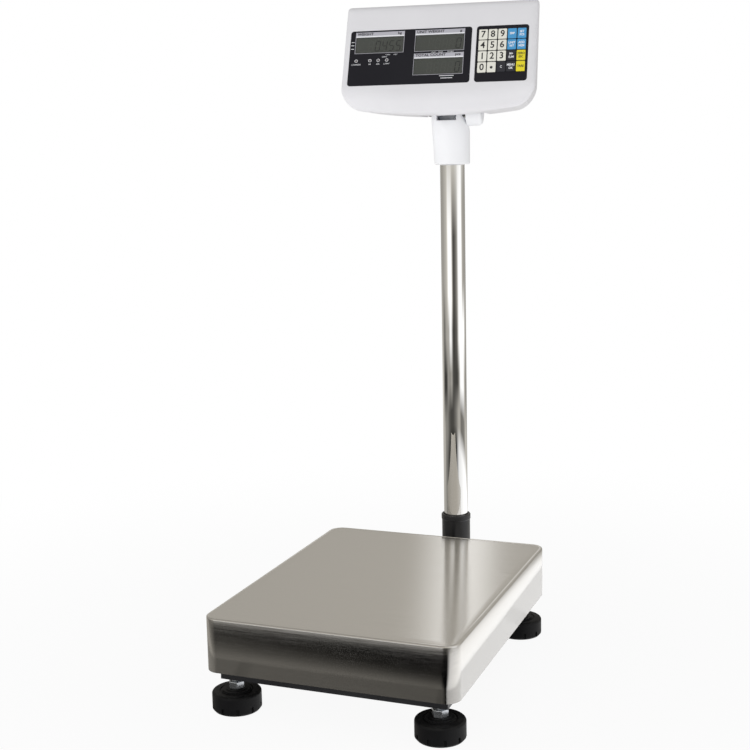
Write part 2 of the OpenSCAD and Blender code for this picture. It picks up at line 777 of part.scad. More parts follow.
module front_housing() {
  color("whitesmoke") at_column() translate([-head_offset, 0, 0]) {
    difference() {
      union() {
        intersection() {
          shell();
          panel_half(1);
        }
        translate([0, -panel_forward, panel_centre_height]) rotate([90 - panel_tilt, 0, 0])
          for (p = screw_at) {
            translate([p[0], p[1], -parting_depth])
              cylinder(h = parting_depth - 2, r = 4.5, $fn = 48);
          }
      }
      translate([0, -panel_forward, panel_centre_height]) rotate([90 - panel_tilt, 0, 0]) {
        translate([main_u, 0, -recess])
          rbox(main_width + 0.04, overlay_height + 0.04, 5, overlay_corner_radius);
        translate([pad_u, 0, -recess])
          rbox(keypad_width + 0.04, overlay_height + 0.04, 5, overlay_corner_radius);
        for (w = window_at) {
          box(w[0], w[1], -10, window_width + 1, window_height + 1, 20);
        }
        for (u = light_at) {
          translate([u, light_v, -10]) cylinder(h = 20, r = light_diameter / 2 + 0.02, $fn = 48);
        }
        box(pad_u, grid_v, -10, 5 * key_pitch_x + 1, 4 * key_pitch_y + 1, 20);
        for (p = screw_at) {
          translate([p[0], p[1], -parting_depth - 1]) cylinder(h = 12, r = 1.52, $fn = 32);
        }
      }
    }
  }
}
module on_rear(u, z) {
  translate([u, rear_back - (z - head_bottom) * tan(rear_lean), z])
    rotate([-(90 - rear_lean), 0, 0]) children();
}
door_u = -86;
door_z = 863;
switch_u = 100;
switch_z = 850;
hinge_y = door_height / 2 - door_gap - housing_wall / 2;
module rear_housing() {
  px = head_offset;
  color("whitesmoke") at_column() translate([-head_offset, 0, 0]) difference() {
    union() {
      intersection() {
        union() {
          shell();
          intersection() {
            head_solid(0.5);
            union() {
              translate([px - 46.5, -38.5, 760]) cube([103, 108, pocket_roof + 2.5 - 760]);
              for (u = [-118, -86, -54]) {
                translate([u - 1.5, -24, 770]) cube([3, 60, 27]);
              }
              translate([0, -panel_forward, panel_centre_height]) rotate([90 - panel_tilt, 0, 0])
                for (p = screw_at) {
                  translate([p[0], p[1], -parting_depth - 120]) cylinder(h = 120, r = 5, $fn = 48);
                }
            }
          }
        }
        panel_half(-1);
      }
      intersection() {
        on_rear(switch_u, switch_z) box(0, 0, -6, rocker_width + 5, rocker_height + 5, 7);
        panel_half(-1);
      }
    }
    translate([px - 44, -36, 700]) cube([98, 150, pocket_roof - 700]);
    on_rear(door_u, door_z) {
      box(0, 0, -12, door_width, door_height, 20);
      translate([-door_width / 2 - 3, hinge_y, -housing_wall / 2])
        rotate([0, 90, 0]) cylinder(h = door_width + 6, r = 0.9, $fn = 32);
    }
    on_rear(switch_u, switch_z) {
      box(0, 0, -20, rocker_width + 0.8, rocker_height + 0.8, 40);
      translate([-rocker_width / 2 - 2, 0, -2])
        rotate([0, 90, 0]) cylinder(h = rocker_width + 4, r = 1.1, $fn = 32);
    }
    translate([0, -panel_forward, panel_centre_height]) rotate([90 - panel_tilt, 0, 0])
      for (p = screw_at) {
        translate([p[0], p[1], -parting_depth - 150]) cylinder(h = 147, r = 3.2, $fn = 32);
        translate([p[0], p[1], -parting_depth - 10]) cylinder(h = 12, r = 1.6, $fn = 32);
      }
  }
}
module housing_screws() {
  color("silver") on_panel() for (p = screw_at) {
    translate([p[0], p[1], -parting_depth - 5.2]) cylinder(h = 2.2, r = 2.9, $fn = 32);
    translate([p[0], p[1], -parting_depth - 3.1]) cylinder(h = 13, r = 1.5, $fn = 32);
  }
}

// OVERLAYS AND DISPLAYS
module main_overlay() {
  color("black") on_panel() translate([0, 0, -recess]) difference() {
    translate([main_u, 0, 0])
      rbox(main_width, overlay_height, overlay_thickness, overlay_corner_radius);
    for (w = window_at) {
      box(w[0], w[1], -1, window_width, window_height, 5);
    }
    for (u = light_at) {
      translate([u, light_v, -1]) cylinder(h = 5, r = light_diameter / 2 + 0.02, $fn = 48);
    }
  }
}
module display_windows() {
  color("lightgreen") on_panel() for (w = window_at) {
    box(w[0], w[1], -recess, window_width - 0.04, window_height - 0.04, overlay_thickness);
  }
}
module display_modules() {
  color("darkgreen") on_panel() for (w = window_at) {
    box(w[0], w[1], -housing_wall - module_depth, window_width + 8, window_height + 9,
        module_depth);
    box(w[0], w[1], -housing_wall - e, window_width, window_height, 1.5);
  }
}
module status_lights() {
  color("orange") on_panel() for (u = light_at) {
    translate([u, light_v, -housing_wall - module_depth])
      cylinder(h = housing_wall + module_depth + 0.2, r = light_diameter / 2, $fn = 48);
  }
}
module main_board() {
  color("green") on_panel() translate([0, 0, -housing_wall - module_depth - board_thickness]) {
    box(main_u - 1, 0, 0, main_width - 6, 84, board_thickness);
    box(main_u + 10, -20, -5, 18, 18, 5 + e);
    box(main_u + 60, -22, -9, 22, 14, 9 + e);
    box(main_u + 50, 16, -6, 26, 12, 6 + e);
  }
}
module keypad_overlay() {
  color("black") on_panel() translate([0, 0, -recess]) difference() {
    translate([pad_u, 0, 0])
      rbox(keypad_width, overlay_height, overlay_thickness, overlay_corner_radius);
    for (c = [0:4]) {
      for (r = [0:3]) {
        box(pad_u + (c - 2) * key_pitch_x, grid_v + (1.5 - r) * key_pitch_y, -1,
            key_width + 2 * key_gap, key_height + 2 * key_gap, 5);
      }
    }
  }
}
key_under = -housing_wall - 1;
dome_top = key_under - key_travel - 0.3;
module keypad_board() {
  w = 5 * key_pitch_x + 1;
  h = 4 * key_pitch_y + 1;
  color("green") on_panel() {
    difference() {
      box(pad_u, grid_v, dome_top - 0.5 - board_thickness, w + 6, h + 6,
          board_thickness + 0.5 - dome_top - housing_wall);
      box(pad_u, grid_v, dome_top - 0.5, w, h, 20);
    }
    for (c = [0:4]) {
      for (r = [0:3]) {
        translate([pad_u + (c - 2) * key_pitch_x, grid_v + (1.5 - r) * key_pitch_y,
                   dome_top - 0.5 - e])
          cylinder(h = 0.5 + e, r = 4, $fn = 32);
      }
    }
  }
}
module key_at(c, r) {
  on_panel() translate([pad_u + (c - 2) * key_pitch_x, grid_v + (1.5 - r) * key_pitch_y, key_under])
    rbox(key_width, key_height, 0.2 + key_raise - key_under, 1.2);
}
module key_7() { color("ivory") key_at(0, 0); }
module key_8() { color("ivory") key_at(1, 0); }
module key_9() { color("ivory") key_at(2, 0); }
module key_blue_1() { color("steelblue") key_at(3, 0); }
module key_blue_2() { color("steelblue") key_at(4, 0); }
module key_4() { color("ivory") key_at(0, 1); }
module key_5() { color("ivory") key_at(1, 1); }
module key_6() { color("ivory") key_at(2, 1); }
module key_blue_3() { color("steelblue") key_at(3, 1); }
module key_blue_4() { color("steelblue") key_at(4, 1); }
module key_1() { color("ivory") key_at(0, 2); }
module key_2() { color("ivory") key_at(1, 2); }
module key_3() { color("ivory") key_at(2, 2); }
module key_black_1() { color("dimgray") key_at(3, 2); }
module key_yellow_1() { color("gold") key_at(4, 2); }
module key_0() { color("ivory") key_at(0, 3); }
module key_point() { color("ivory") key_at(1, 3); }
module key_black_2() { color("dimgray") key_at(2, 3); }
module key_black_3() { color("dimgray") key_at(3, 3); }
module key_yellow_2() { color("gold") key_at(4, 3); }

// REAR OF THE HEAD
module battery() {
  color("darkslateblue") at_head() {
    box(-86.5, 3.5, 797, battery_length, battery_thickness, battery_height - 5);
    box(-86.5, 3.5, 797 + battery_height - 5 - e, battery_length - 4, battery_thickness - 4, 2 + e);
    for (u = [-30, 30]) {
      box(-86.5 + u, 3.5 + 14, 797 + battery_height - 3 - e, 6, 2, 3 + e);
    }
  }
}
module battery_door() {
  r = housing_wall / 2;
  w = door_width - 2 * door_gap;
  color("whitesmoke") at_head() on_rear(door_u, door_z) {
    translate([-w / 2, -door_height / 2 + door_gap, -housing_wall])
      cube([w, hinge_y + door_height / 2 - door_gap, housing_wall]);
    translate([-w / 2, hinge_y, -r]) rotate([0, 90, 0]) cylinder(h = w, r = r, $fn = 32);
    translate([-w / 2 - 2.5, hinge_y, -r]) rotate([0, 90, 0]) cylinder(h = w + 5, r = 0.8, $fn = 32);
    box(0, -door_height / 2 + 6, -e, 20, 3, 1.5 + e);
  }
}
module power_switch() {
  color("black") at_head() on_rear(switch_u, switch_z) translate([0, 0, -2]) rotate([8, 0, 0]) {
    translate([-rocker_width / 2, 0, 0]) rotate([90, 0, 90]) linear_extrude(rocker_width)
      polygon([[-rocker_height / 2 + 1, -4], [rocker_height / 2 - 1, -4],
        [rocker_height / 2 - 0.6, 4.2], [0, 2.6], [-rocker_height / 2 + 0.6, 4.2]]);
    translate([-rocker_width / 2 - 1.4, 0, 0])
      rotate([0, 90, 0]) cylinder(h = rocker_width + 2.8, r = 1, $fn = 32);
  }
}

translate([0, -origin_back, 0]) {
  platter();
  base_frame();
  load_cell();
  cell_spacers();
  frame_bolts();
  load_spider();
  platter_buffers();
  level_cup();
  level_vial();
  column_bracket();
  column_socket();
  column();
  cell_cable();
  foot_pad_fl();
  foot_pad_fr();
  foot_pad_rl();
  foot_pad_rr();
  foot_stud_fl();
  foot_stud_fr();
  foot_stud_rl();
  foot_stud_rr();
  head_sleeve();
  sleeve_lock_screw();
  tilt_bracket();
  tilt_bolt();
  tilt_washer();
  tilt_knob();
  front_housing();
  rear_housing();
  housing_screws();
  main_overlay();
  display_windows();
  display_modules();
  status_lights();
  keypad_overlay();
  keypad_board();
  main_board();
  battery();
  battery_door();
  power_switch();
  key_7();
  key_8();
  key_9();
  key_blue_1();
  key_blue_2();
  key_4();
  key_5();
  key_6();
  key_blue_3();
  key_blue_4();
  key_1();
  key_2();
  key_3();
  key_black_1();
  key_yellow_1();
  key_0();
  key_point();
  key_black_2();
  key_black_3();
  key_yellow_2();
}
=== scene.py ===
# %% [markdown]
# # The looks of a bench scale
# A bench scale is a steel tray on a folded frame, with a chrome post that carries the
# indicator. The measured model already says where every part is and how it moves. This lesson
# gives each part its finish, and models again the ones whose soft edges or print the measured
# model leaves plain.

# %% Load the measured model
import json
import math

import bmesh
import bpy
import numpy as np
from mathutils import Matrix, Vector


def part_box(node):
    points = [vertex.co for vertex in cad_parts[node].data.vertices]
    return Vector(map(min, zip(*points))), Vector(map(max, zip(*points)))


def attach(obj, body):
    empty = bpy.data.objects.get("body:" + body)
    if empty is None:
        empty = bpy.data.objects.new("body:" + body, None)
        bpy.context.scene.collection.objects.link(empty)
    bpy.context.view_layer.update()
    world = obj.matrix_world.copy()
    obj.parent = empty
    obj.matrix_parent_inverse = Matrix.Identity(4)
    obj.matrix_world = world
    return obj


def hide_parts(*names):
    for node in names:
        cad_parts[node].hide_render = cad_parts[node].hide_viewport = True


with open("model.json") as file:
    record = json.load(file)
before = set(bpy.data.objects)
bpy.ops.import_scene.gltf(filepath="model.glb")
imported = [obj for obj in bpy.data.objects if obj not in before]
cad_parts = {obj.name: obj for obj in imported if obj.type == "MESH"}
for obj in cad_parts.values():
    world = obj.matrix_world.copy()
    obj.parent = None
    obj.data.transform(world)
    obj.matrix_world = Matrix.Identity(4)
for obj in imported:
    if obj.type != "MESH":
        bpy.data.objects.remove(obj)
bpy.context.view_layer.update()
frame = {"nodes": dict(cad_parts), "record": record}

# %% [markdown]
# ## The camera
# It stands to the right of the scale at about the height of the post's middle and looks a
# little down. A long lens keeps the tray's far edge nearly as wide as its near one.

# %% Camera
low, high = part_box("platter")
TRAY_MID = (low.y + high.y) / 2
CAMERA_SPOT = Vector((0.6327, TRAY_MID - 1.6468, 0.7150))
TURN, DROP, LEAN = 0.3726, 0.1623, -0.0206  # radians to the left, down, and about the view
scene = bpy.context.scene
ahead = Vector((-math.sin(TURN) * math.cos(DROP), math.cos(TURN) * math.cos(DROP), -math.sin(DROP)))
level = Vector((math.cos(TURN), math.sin(TURN), 0))
above = level.cross(ahead)
right = level * math.cos(LEAN) + above * math.sin(LEAN)
top = above * math.cos(LEAN) - level * math.sin(LEAN)
camera = bpy.data.objects.new("camera", bpy.data.cameras.new("camera"))
scene.collection.objects.link(camera)
aim = Matrix((right, top, -ahead)).transposed().to_4x4()
camera.matrix_world = Matrix.Translation(CAMERA_SPOT) @ aim
camera.data.sensor_width = 36
camera.data.lens = 62.0
scene.camera = camera
scene.view_settings.view_transform = "Standard"
print("camera at", tuple(round(v, 3) for v in camera.location))

# %% [markdown]
# ## Small helpers for meshes
# Every piece is a bmesh that becomes an object at the origin, with its place in its mesh.

# %% Mesh helpers
MM = 0.001


def to_piece(name, bm, place=None, smooth=30):
    """The bmesh as an object in the scene, moved to its place, with soft shading."""
    if place is not None:
        bmesh.ops.transform(bm, matrix=place, verts=bm.verts)
    mesh = bpy.data.meshes.new(name)
    bm.to_mesh(mesh)
    bm.free()
    mesh.shade_smooth()
    mesh.set_sharp_from_angle(angle=math.radians(smooth))
    piece = bpy.data.objects.new(name, mesh)
    scene.collection.objects.link(piece)
    return piece


def settle(piece):
    """Writes the piece's modifiers into its mesh."""
    graph = bpy.context.evaluated_depsgraph_get()
    mesh = bpy.data.meshes.new_from_object(piece.evaluated_get(graph))
    piece.modifiers.clear()
    piece.data = mesh
    return piece


def carve(piece, cutters, way="DIFFERENCE"):
    """Cuts the cutters out of the piece, one after another."""
    for cutter in cutters:
        cut = piece.modifiers.new("cut", "BOOLEAN")
        cut.object, cut.operation, cut.solver = cutter, way, "EXACT"
    settle(piece)
    for cutter in cutters:
        bpy.data.objects.remove(cutter)


def at(x, y, z):
    """A move by x, y and z."""
    return Matrix.Translation((x, y, z))


def block(bm, x, y, z, w, d, h, round_edges=0, steps=4):
    """Adds a block whose corner is x, y, z, with its upright edges rounded."""
    made = bmesh.ops.create_cube(
        bm, size=1, matrix=at(x + w / 2, y + d / 2, z + h / 2) @ Matrix.Diagonal((w, d, h, 1)))
    if round_edges:
        edges = [e for v in made["verts"] for e in v.link_edges
                 if abs((e.verts[0].co - e.verts[1].co).z) > h * 0.9]
        bmesh.ops.bevel(bm, geom=list(set(edges)), offset=round_edges, affect="EDGES",
                        segments=steps, profile=0.5, material=-1)


def block_piece(name, measures, place=None):
    """One block as a piece; measures are those of block."""
    bm = bmesh.new()
    block(bm, *measures)
    return to_piece(name, bm, place)


def rod(name, radius, length, middle, place=None, segments=32):
    """A round rod, upright before middle turns it."""
    bm = bmesh.new()
    bmesh.ops.create_cone(bm, cap_ends=True, segments=segments, radius1=radius, radius2=radius,
                          depth=length, matrix=middle)
    return to_piece(name, bm, place)


def lathe(name, outline, steps, place, smooth):
    """Turns a closed outline of (radius, height) points about the upright axis."""
    bm = bmesh.new()
    ring = [bm.verts.new((r, 0, z)) for r, z in outline]
    edges = [bm.edges.new((a, b)) for a, b in zip(ring, ring[1:] + ring[:1])]
    bmesh.ops.spin(bm, geom=ring + edges, axis=(0, 0, 1), cent=(0, 0, 0), angle=2 * math.pi,
                   steps=steps, use_merge=True)
    bmesh.ops.remove_doubles(bm, verts=bm.verts, dist=1e-6)
    bmesh.ops.recalc_face_normals(bm, faces=bm.faces)
    return to_piece(name, bm, place, smooth)


def arc(cx, cz, r, start, end, steps=6):
    """Points on an arc, in degrees, for a lathe outline."""
    turns = [math.radians(start + (end - start) * k / steps) for k in range(steps + 1)]
    return [(cx + r * math.cos(t), cz + r * math.sin(t)) for t in turns]


QUARTER = math.pi / 2
ALONG_X, ALONG_Y = Matrix.Rotation(QUARTER, 4, "Y"), Matrix.Rotation(QUARTER, 4, "X")
print("helpers ready")

# %% [markdown]
# ## Shader groups
# Three effects come back on most finishes. Brushed grain is noise stretched along the rolling
# direction. Fine texture is the spark-eroded skin of moulded plastic and powder coat. Handling
# is the faint dust on upward faces that stops a large face from looking like one flat colour.

# %% Group maker
def new_group(name, inputs, outputs):
    """A shader group with named sockets: (name, kind, start value)."""
    group = bpy.data.node_groups.new(name, "ShaderNodeTree")
    for label, kind, start in inputs:
        socket = group.interface.new_socket(label, in_out="INPUT", socket_type=kind)
        if start is not None:
            socket.default_value = start
    for label, kind in outputs:
        group.interface.new_socket(label, in_out="OUTPUT", socket_type=kind)
    return group


def node(tree, kind, inputs=(), **settings):
    """Adds a shader or group node; inputs are (socket, value or other node's output)."""
    made = tree.nodes.new(kind if kind.startswith("NodeGroup") else "ShaderNode" + kind)
    for label, value in settings.items():
        setattr(made, label, value)
    for label, value in inputs:
        if isinstance(value, bpy.types.NodeSocket):
            tree.links.new(value, made.inputs[label])
        else:
            made.inputs[label].default_value = value
    return made


FLOAT, COLOUR, VECTOR = "NodeSocketFloat", "NodeSocketColor", "NodeSocketVector"

# %% Brushed grain
brushed = new_group("brushed_grain", [
    ("Vector", VECTOR, None), ("Light", COLOUR, (0.6, 0.6, 0.6, 1)),
    ("Dark", COLOUR, (0.5, 0.5, 0.5, 1)), ("Smooth", FLOAT, 0.2), ("Rough", FLOAT, 0.3)],
    [("Color", COLOUR), ("Roughness", FLOAT), ("Height", FLOAT)])
start = node(brushed, "NodeGroupInput")
long_map = node(brushed, "Mapping", [("Vector", start.outputs["Vector"]),
                                     ("Scale", (9, 620, 620))])
long_grain = node(brushed, "TexNoise", [("Vector", long_map.outputs[0]),
                                        ("Scale", 1.0), ("Detail", 3.0)])
hair_map = node(brushed, "Mapping", [("Vector", start.outputs["Vector"]),
                                     ("Scale", (34, 2600, 2600))])
hair = node(brushed, "TexNoise", [("Vector", hair_map.outputs[0]),
                                  ("Scale", 1.0), ("Detail", 2.0)])
both = node(brushed, "Math", [(0, long_grain.outputs["Fac"]),
                              (1, hair.outputs["Fac"])], operation="ADD")
grain = node(brushed, "MapRange", [("Value", both.outputs[0]),
                                   ("From Min", 0.7), ("From Max", 1.3)])
tint = node(brushed, "Mix", [("Factor", grain.outputs[0]), ("A", start.outputs["Dark"]),
                             ("B", start.outputs["Light"])], data_type="RGBA")
gloss = node(brushed, "MapRange", [("Value", grain.outputs[0]),
                                   ("To Min", start.outputs["Smooth"]),
                                   ("To Max", start.outputs["Rough"])])
node(brushed, "NodeGroupOutput", [("Color", tint.outputs["Result"]),
                                  ("Roughness", gloss.outputs[0]), ("Height", grain.outputs[0])])
print("group:", brushed.name)

# %% Fine texture
skin = new_group("fine_texture", [
    ("Vector", VECTOR, None), ("Base", COLOUR, (0.8, 0.8, 0.8, 1)),
    ("Worn", COLOUR, (0.7, 0.7, 0.7, 1)), ("Smooth", FLOAT, 0.3), ("Rough", FLOAT, 0.5),
    ("Grain Scale", FLOAT, 2200.0)],
    [("Color", COLOUR), ("Roughness", FLOAT), ("Height", FLOAT)])
start = node(skin, "NodeGroupInput")
pits = node(skin, "TexNoise", [("Vector", start.outputs["Vector"]),
                               ("Scale", start.outputs["Grain Scale"]), ("Detail", 2.0)])
cloud = node(skin, "TexNoise", [("Vector", start.outputs["Vector"]),
                                ("Scale", 14.0), ("Detail", 5.0), ("Roughness", 0.62)])
spread = node(skin, "MapRange", [("Value", cloud.outputs["Fac"]),
                                 ("From Min", 0.35), ("From Max", 0.7)])
tint = node(skin, "Mix", [("Factor", spread.outputs[0]), ("A", start.outputs["Base"]),
                          ("B", start.outputs["Worn"])], data_type="RGBA")
gloss = node(skin, "MapRange", [("Value", cloud.outputs["Fac"]),
                                ("From Min", 0.3), ("From Max", 0.7),
                                ("To Min", start.outputs["Smooth"]),
                                ("To Max", start.outputs["Rough"])])
node(skin, "NodeGroupOutput", [("Color", tint.outputs["Result"]), ("Roughness", gloss.outputs[0]),
                               ("Height", pits.outputs["Fac"])])
print("group:", skin.name)

# %% Handling
handling = new_group("handling", [
    ("Color", COLOUR, (0.5, 0.5, 0.5, 1)), ("Dust", COLOUR, (0.5, 0.48, 0.45, 1)),
    ("Amount", FLOAT, 0.1), ("Vector", VECTOR, None)], [("Color", COLOUR)])
start = node(handling, "NodeGroupInput")
facing = node(handling, "NewGeometry")
lift = node(handling, "SeparateXYZ", [(0, facing.outputs["Normal"])])
upward = node(handling, "MapRange", [("Value", lift.outputs["Z"]),
                                     ("From Min", 0.2), ("From Max", 1.0)])
specks = node(handling, "TexNoise", [("Vector", start.outputs["Vector"]),
                                     ("Scale", 90.0), ("Detail", 6.0)])
settle_on = node(handling, "MapRange", [("Value", specks.outputs["Fac"]),
                                        ("From Min", 0.42), ("From Max", 0.75)])
mask = node(handling, "Math", [(0, settle_on.outputs[0]), (1, upward.outputs[0])],
            operation="MULTIPLY")
some = node(handling, "Math", [(0, mask.outputs[0]), (1, start.outputs["Amount"])],
            operation="MULTIPLY")
dusted = node(handling, "Mix", [("Factor", some.outputs[0]), ("A", start.outputs["Color"]),
                                ("B", start.outputs["Dust"])], data_type="RGBA")
node(handling, "NodeGroupOutput", [("Color", dusted.outputs["Result"])])
print("group:", handling.name)

# %% [markdown]
# ## Finishes
# One function sets up a Principled shader, lets a group drive its colour, roughness and bump,
# and rounds the shading of sharp machined edges with a Bevel node.

# %% Finish makers
def material(name, **plain):
    """A new material with its Principled shader; plain are the shader's own constants."""
    made = bpy.data.materials.new(name)
    made.use_nodes = True
    shader = made.node_tree.nodes["Principled BSDF"]
    for label, value in plain.items():
        shader.inputs[label.replace("_", " ").title().replace("Ior", "IOR")].default_value = value
    return made, made.node_tree, shader


def place_group(tree, group, inputs):
    """A shader group in a material, with its inputs."""
    return node(tree, "Group", inputs, node_tree=group)


def edge_bump(tree, shader, height, depth, soft):
    """Feeds the normal: bump from a height, over edges rounded by a soft radius."""
    bump = node(tree, "Bump", [("Height", height), ("Strength", 0.6), ("Distance", depth)])
    if soft:
        bevel = node(tree, "Bevel", [("Radius", soft)], samples=4)
        tree.links.new(bevel.outputs["Normal"], bump.inputs["Normal"])
    tree.links.new(bump.outputs["Normal"], shader.inputs["Normal"])


def textured(name, base, worn, smooth, rough, scale=2200.0, depth=0.00004, soft=0.0006,
             dust=0.0, **plain):
    """A moulded, painted or cast finish from the fine texture group."""
    made, tree, shader = material(name, **plain)
    where = node(tree, "TexCoord").outputs["Object"]
    fine = place_group(tree, skin, [("Vector", where), ("Base", (*base, 1)), ("Worn", (*worn, 1)),
                                    ("Smooth", smooth), ("Rough", rough), ("Grain Scale", scale)])
    colour = fine.outputs["Color"]
    if dust:
        colour = place_group(tree, handling, [("Color", colour), ("Amount", dust),
                                              ("Vector", where)]).outputs["Color"]
    tree.links.new(colour, shader.inputs["Base Color"])
    tree.links.new(fine.outputs["Roughness"], shader.inputs["Roughness"])
    edge_bump(tree, shader, fine.outputs["Height"], depth, soft)
    return made


GROUND_EDGE = 0.0004  # how far grinding softens a metal edge


def streaked(name, light, dark, smooth, rough, turn=(0, 0, 0), depth=0.00002, uv=False, **plain):
    """A rolled, ground or drawn metal finish from the brushed grain group."""
    made, tree, shader = material(name, metallic=1.0, **plain)
    where = node(tree, "TexCoord").outputs["UV" if uv else "Object"]
    turned = node(tree, "Mapping", [("Vector", where), ("Rotation", turn)])
    metal = place_group(tree, brushed, [("Vector", turned.outputs[0]), ("Light", (*light, 1)),
                                        ("Dark", (*dark, 1)), ("Smooth", smooth),
                                        ("Rough", rough)])
    tree.links.new(metal.outputs["Color"], shader.inputs["Base Color"])
    tree.links.new(metal.outputs["Roughness"], shader.inputs["Roughness"])
    edge_bump(tree, shader, metal.outputs["Height"], depth, GROUND_EDGE)
    if uv:
        tangent = node(tree, "Tangent", direction_type="UV_MAP", uv_map="grain")
        tree.links.new(tangent.outputs[0], shader.inputs["Tangent"])
    return made


stainless = streaked("stainless_brushed", (0.66, 0.64, 0.61), (0.58, 0.565, 0.54), 0.12, 0.20,
                     uv=True, depth=0.000006, anisotropic=0.95, anisotropic_rotation=0.25)
bare_steel = streaked("bare_steel", (0.55, 0.55, 0.55), (0.42, 0.42, 0.42), 0.3, 0.45)
cell_metal = streaked("milled_aluminium", (0.78, 0.79, 0.8), (0.66, 0.67, 0.68), 0.28, 0.42,
                      turn=(0, 0, QUARTER))
zinc = textured("zinc_plate", (0.72, 0.75, 0.79), (0.6, 0.62, 0.65), 0.2, 0.34, metallic=1.0,
                scale=900.0, depth=0.00002, soft=0.0007)
chrome = streaked("column_chrome", (0.90, 0.895, 0.885), (0.86, 0.855, 0.84), 0.01, 0.02,
                  turn=(0, QUARTER, 0), depth=0.000001)
frame_paint = textured("black_frame_paint", (0.010, 0.010, 0.012), (0.016, 0.016, 0.018),
                       0.36, 0.5, scale=1400.0, depth=0.00008, soft=0.0012, dust=0.05)
rubber = textured("black_rubber", (0.003, 0.003, 0.0035), (0.006, 0.006, 0.007), 0.5, 0.68,
                  scale=700.0, depth=0.0001, soft=0.0012, dust=0.03, specular_ior_level=0.2)
black_plastic = textured("black_plastic", (0.008, 0.008, 0.009), (0.012, 0.012, 0.014), 0.3, 0.42,
                         scale=1800.0, soft=0.0008)
white_plastic = textured("white_housing", (0.80, 0.795, 0.82), (0.775, 0.77, 0.795), 0.34, 0.44,
                         scale=1500.0, depth=0.00005, soft=0.0008)
# The sleeve and knob take a lighter copy of the housing's white plastic: painted light that makes
# up for the head's shade over them.
lit_sleeve_plastic = textured("white_housing_lit", (0.92, 0.925, 0.945), (0.90, 0.905, 0.925), 0.34, 0.44,
                          scale=1500.0, depth=0.00005, soft=0.0014)
film = textured("overlay_film", (0.0085, 0.0085, 0.0135), (0.0105, 0.0105, 0.0155), 0.3, 0.38,
                scale=2600.0, depth=0.00002, soft=0.0, specular_ior_level=0.22)
lcd = textured("display_glass", (0.078, 0.083, 0.074), (0.074, 0.079, 0.070), 0.3, 0.36,
               scale=3000.0, depth=0.000001, soft=0.0, specular_ior_level=0.25)
lens = textured("light_lens", (0.16, 0.13, 0.12), (0.12, 0.1, 0.1), 0.2, 0.3, soft=0.0004)
board = textured("circuit_board", (0.012, 0.12, 0.045), (0.01, 0.09, 0.035), 0.25, 0.4,
                 soft=0.0003)
battery_case = textured("battery_case", (0.03, 0.035, 0.05), (0.025, 0.03, 0.04), 0.4, 0.55)
sheath = textured("cable_sheath", (0.11, 0.11, 0.115), (0.09, 0.09, 0.095), 0.4, 0.55, soft=0.0)
KEY_COLOURS = {"key_ivory": ((0.84, 0.83, 0.75), (0.8, 0.79, 0.71)),
               "key_blue": ((0.07, 0.35, 0.68), (0.065, 0.32, 0.62)),
               "key_black": ((0.016, 0.017, 0.025), (0.02, 0.021, 0.03)),
               "key_yellow": ((0.86, 0.74, 0.02), (0.8, 0.68, 0.02))}
key_finish = {name: textured(name, new, worn, 0.4, 0.5, soft=0.0003)
              for name, (new, worn) in KEY_COLOURS.items()}
print("finishes:", len(bpy.data.materials))

# %% Clear finishes and print
def clear(name, tint, see_through, rough, **plain):
    """A clear film or fluid: mostly see-through, with its gloss kept."""
    made, tree, shader = material(name, **plain)
    where = node(tree, "TexCoord").outputs["Object"]
    fine = place_group(tree, skin, [("Vector", where), ("Base", (*tint, 1)), ("Worn", (*tint, 1)),
                                    ("Smooth", rough), ("Rough", rough * 1.6)])
    tree.links.new(fine.outputs["Color"], shader.inputs["Base Color"])
    tree.links.new(fine.outputs["Roughness"], shader.inputs["Roughness"])
    shader.inputs["Alpha"].default_value = see_through
    return made


window_film = clear("window_film", (0.10, 0.105, 0.10), 0.05, 0.12, specular_ior_level=0.2)
level_fluid = clear("level_fluid", (0.45, 0.62, 0.05), 0.75, 0.06)
print_white, print_grey, print_dark = (
    textured(name, new, worn, 0.4, 0.5, soft=0.0) for name, new, worn in (
        ("print_white", (0.90, 0.91, 0.94), (0.82, 0.83, 0.86)),
        ("print_grey", (0.50, 0.495, 0.55), (0.46, 0.455, 0.50)),
        ("print_dark", (0.008, 0.008, 0.012), (0.012, 0.012, 0.015))))
digit_ink = textured("display_digit", (0.010, 0.011, 0.010), (0.009, 0.010, 0.009), 0.3, 0.36,
                     soft=0.0)
print("finishes:", len(bpy.data.materials))

# %% [markdown]
# ## Finishes on the measured parts
# Most small parts keep their measured shape, so they only need the right finish in their slot.

# %% Paint the measured parts
PAINT = {
    "black_frame_paint": frame_paint, "cell_aluminium": cell_metal, "spacer_steel": bare_steel,
    "zinc_steel": zinc, "black_rubber": rubber, "black_plastic": black_plastic,
    "level_fluid": level_fluid, "cable_sheath": sheath, "white_housing": white_plastic,
    "overlay_film": film, "window_film": window_film, "display_glass": lcd,
    "light_lens": lens, "circuit_board": board, "battery_case": battery_case,
    "column_chrome": chrome, "stainless_sheet": stainless, **key_finish,
}
slot_of = {part["node"]: part["material_slot"] for part in frame["record"]["subparts"]}
for name, part in frame["nodes"].items():
    for holder in part.material_slots:
        holder.material = PAINT[slot_of[name]]
print("painted", len(slot_of), "parts")


def finish_piece(piece, finish, body, slot, *nodes):
    """Gives a new piece its finish and its body, and hides the parts it stands for; slot is not
    used.
    """
    piece.data.materials.clear()
    piece.data.materials.append(finish)
    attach(piece, body)
    if nodes:
        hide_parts(*nodes)
    print(piece.name, "on", body, "faces", len(piece.data.polygons))


# %% [markdown]
# ## The platter
# The tray is one sheet, pressed with a small bend round its top and rounded upright corners.
# It starts as a block: the upright edges are bevelled to the corner radius, the top edge to the
# bend, and Solidify gives the sheet. The top is very slightly crowned near its rim, which bends
# the post's reflection there as real sheet does. The grain runs along each side, so the tray
# gets its own UV map that runs along the grain.

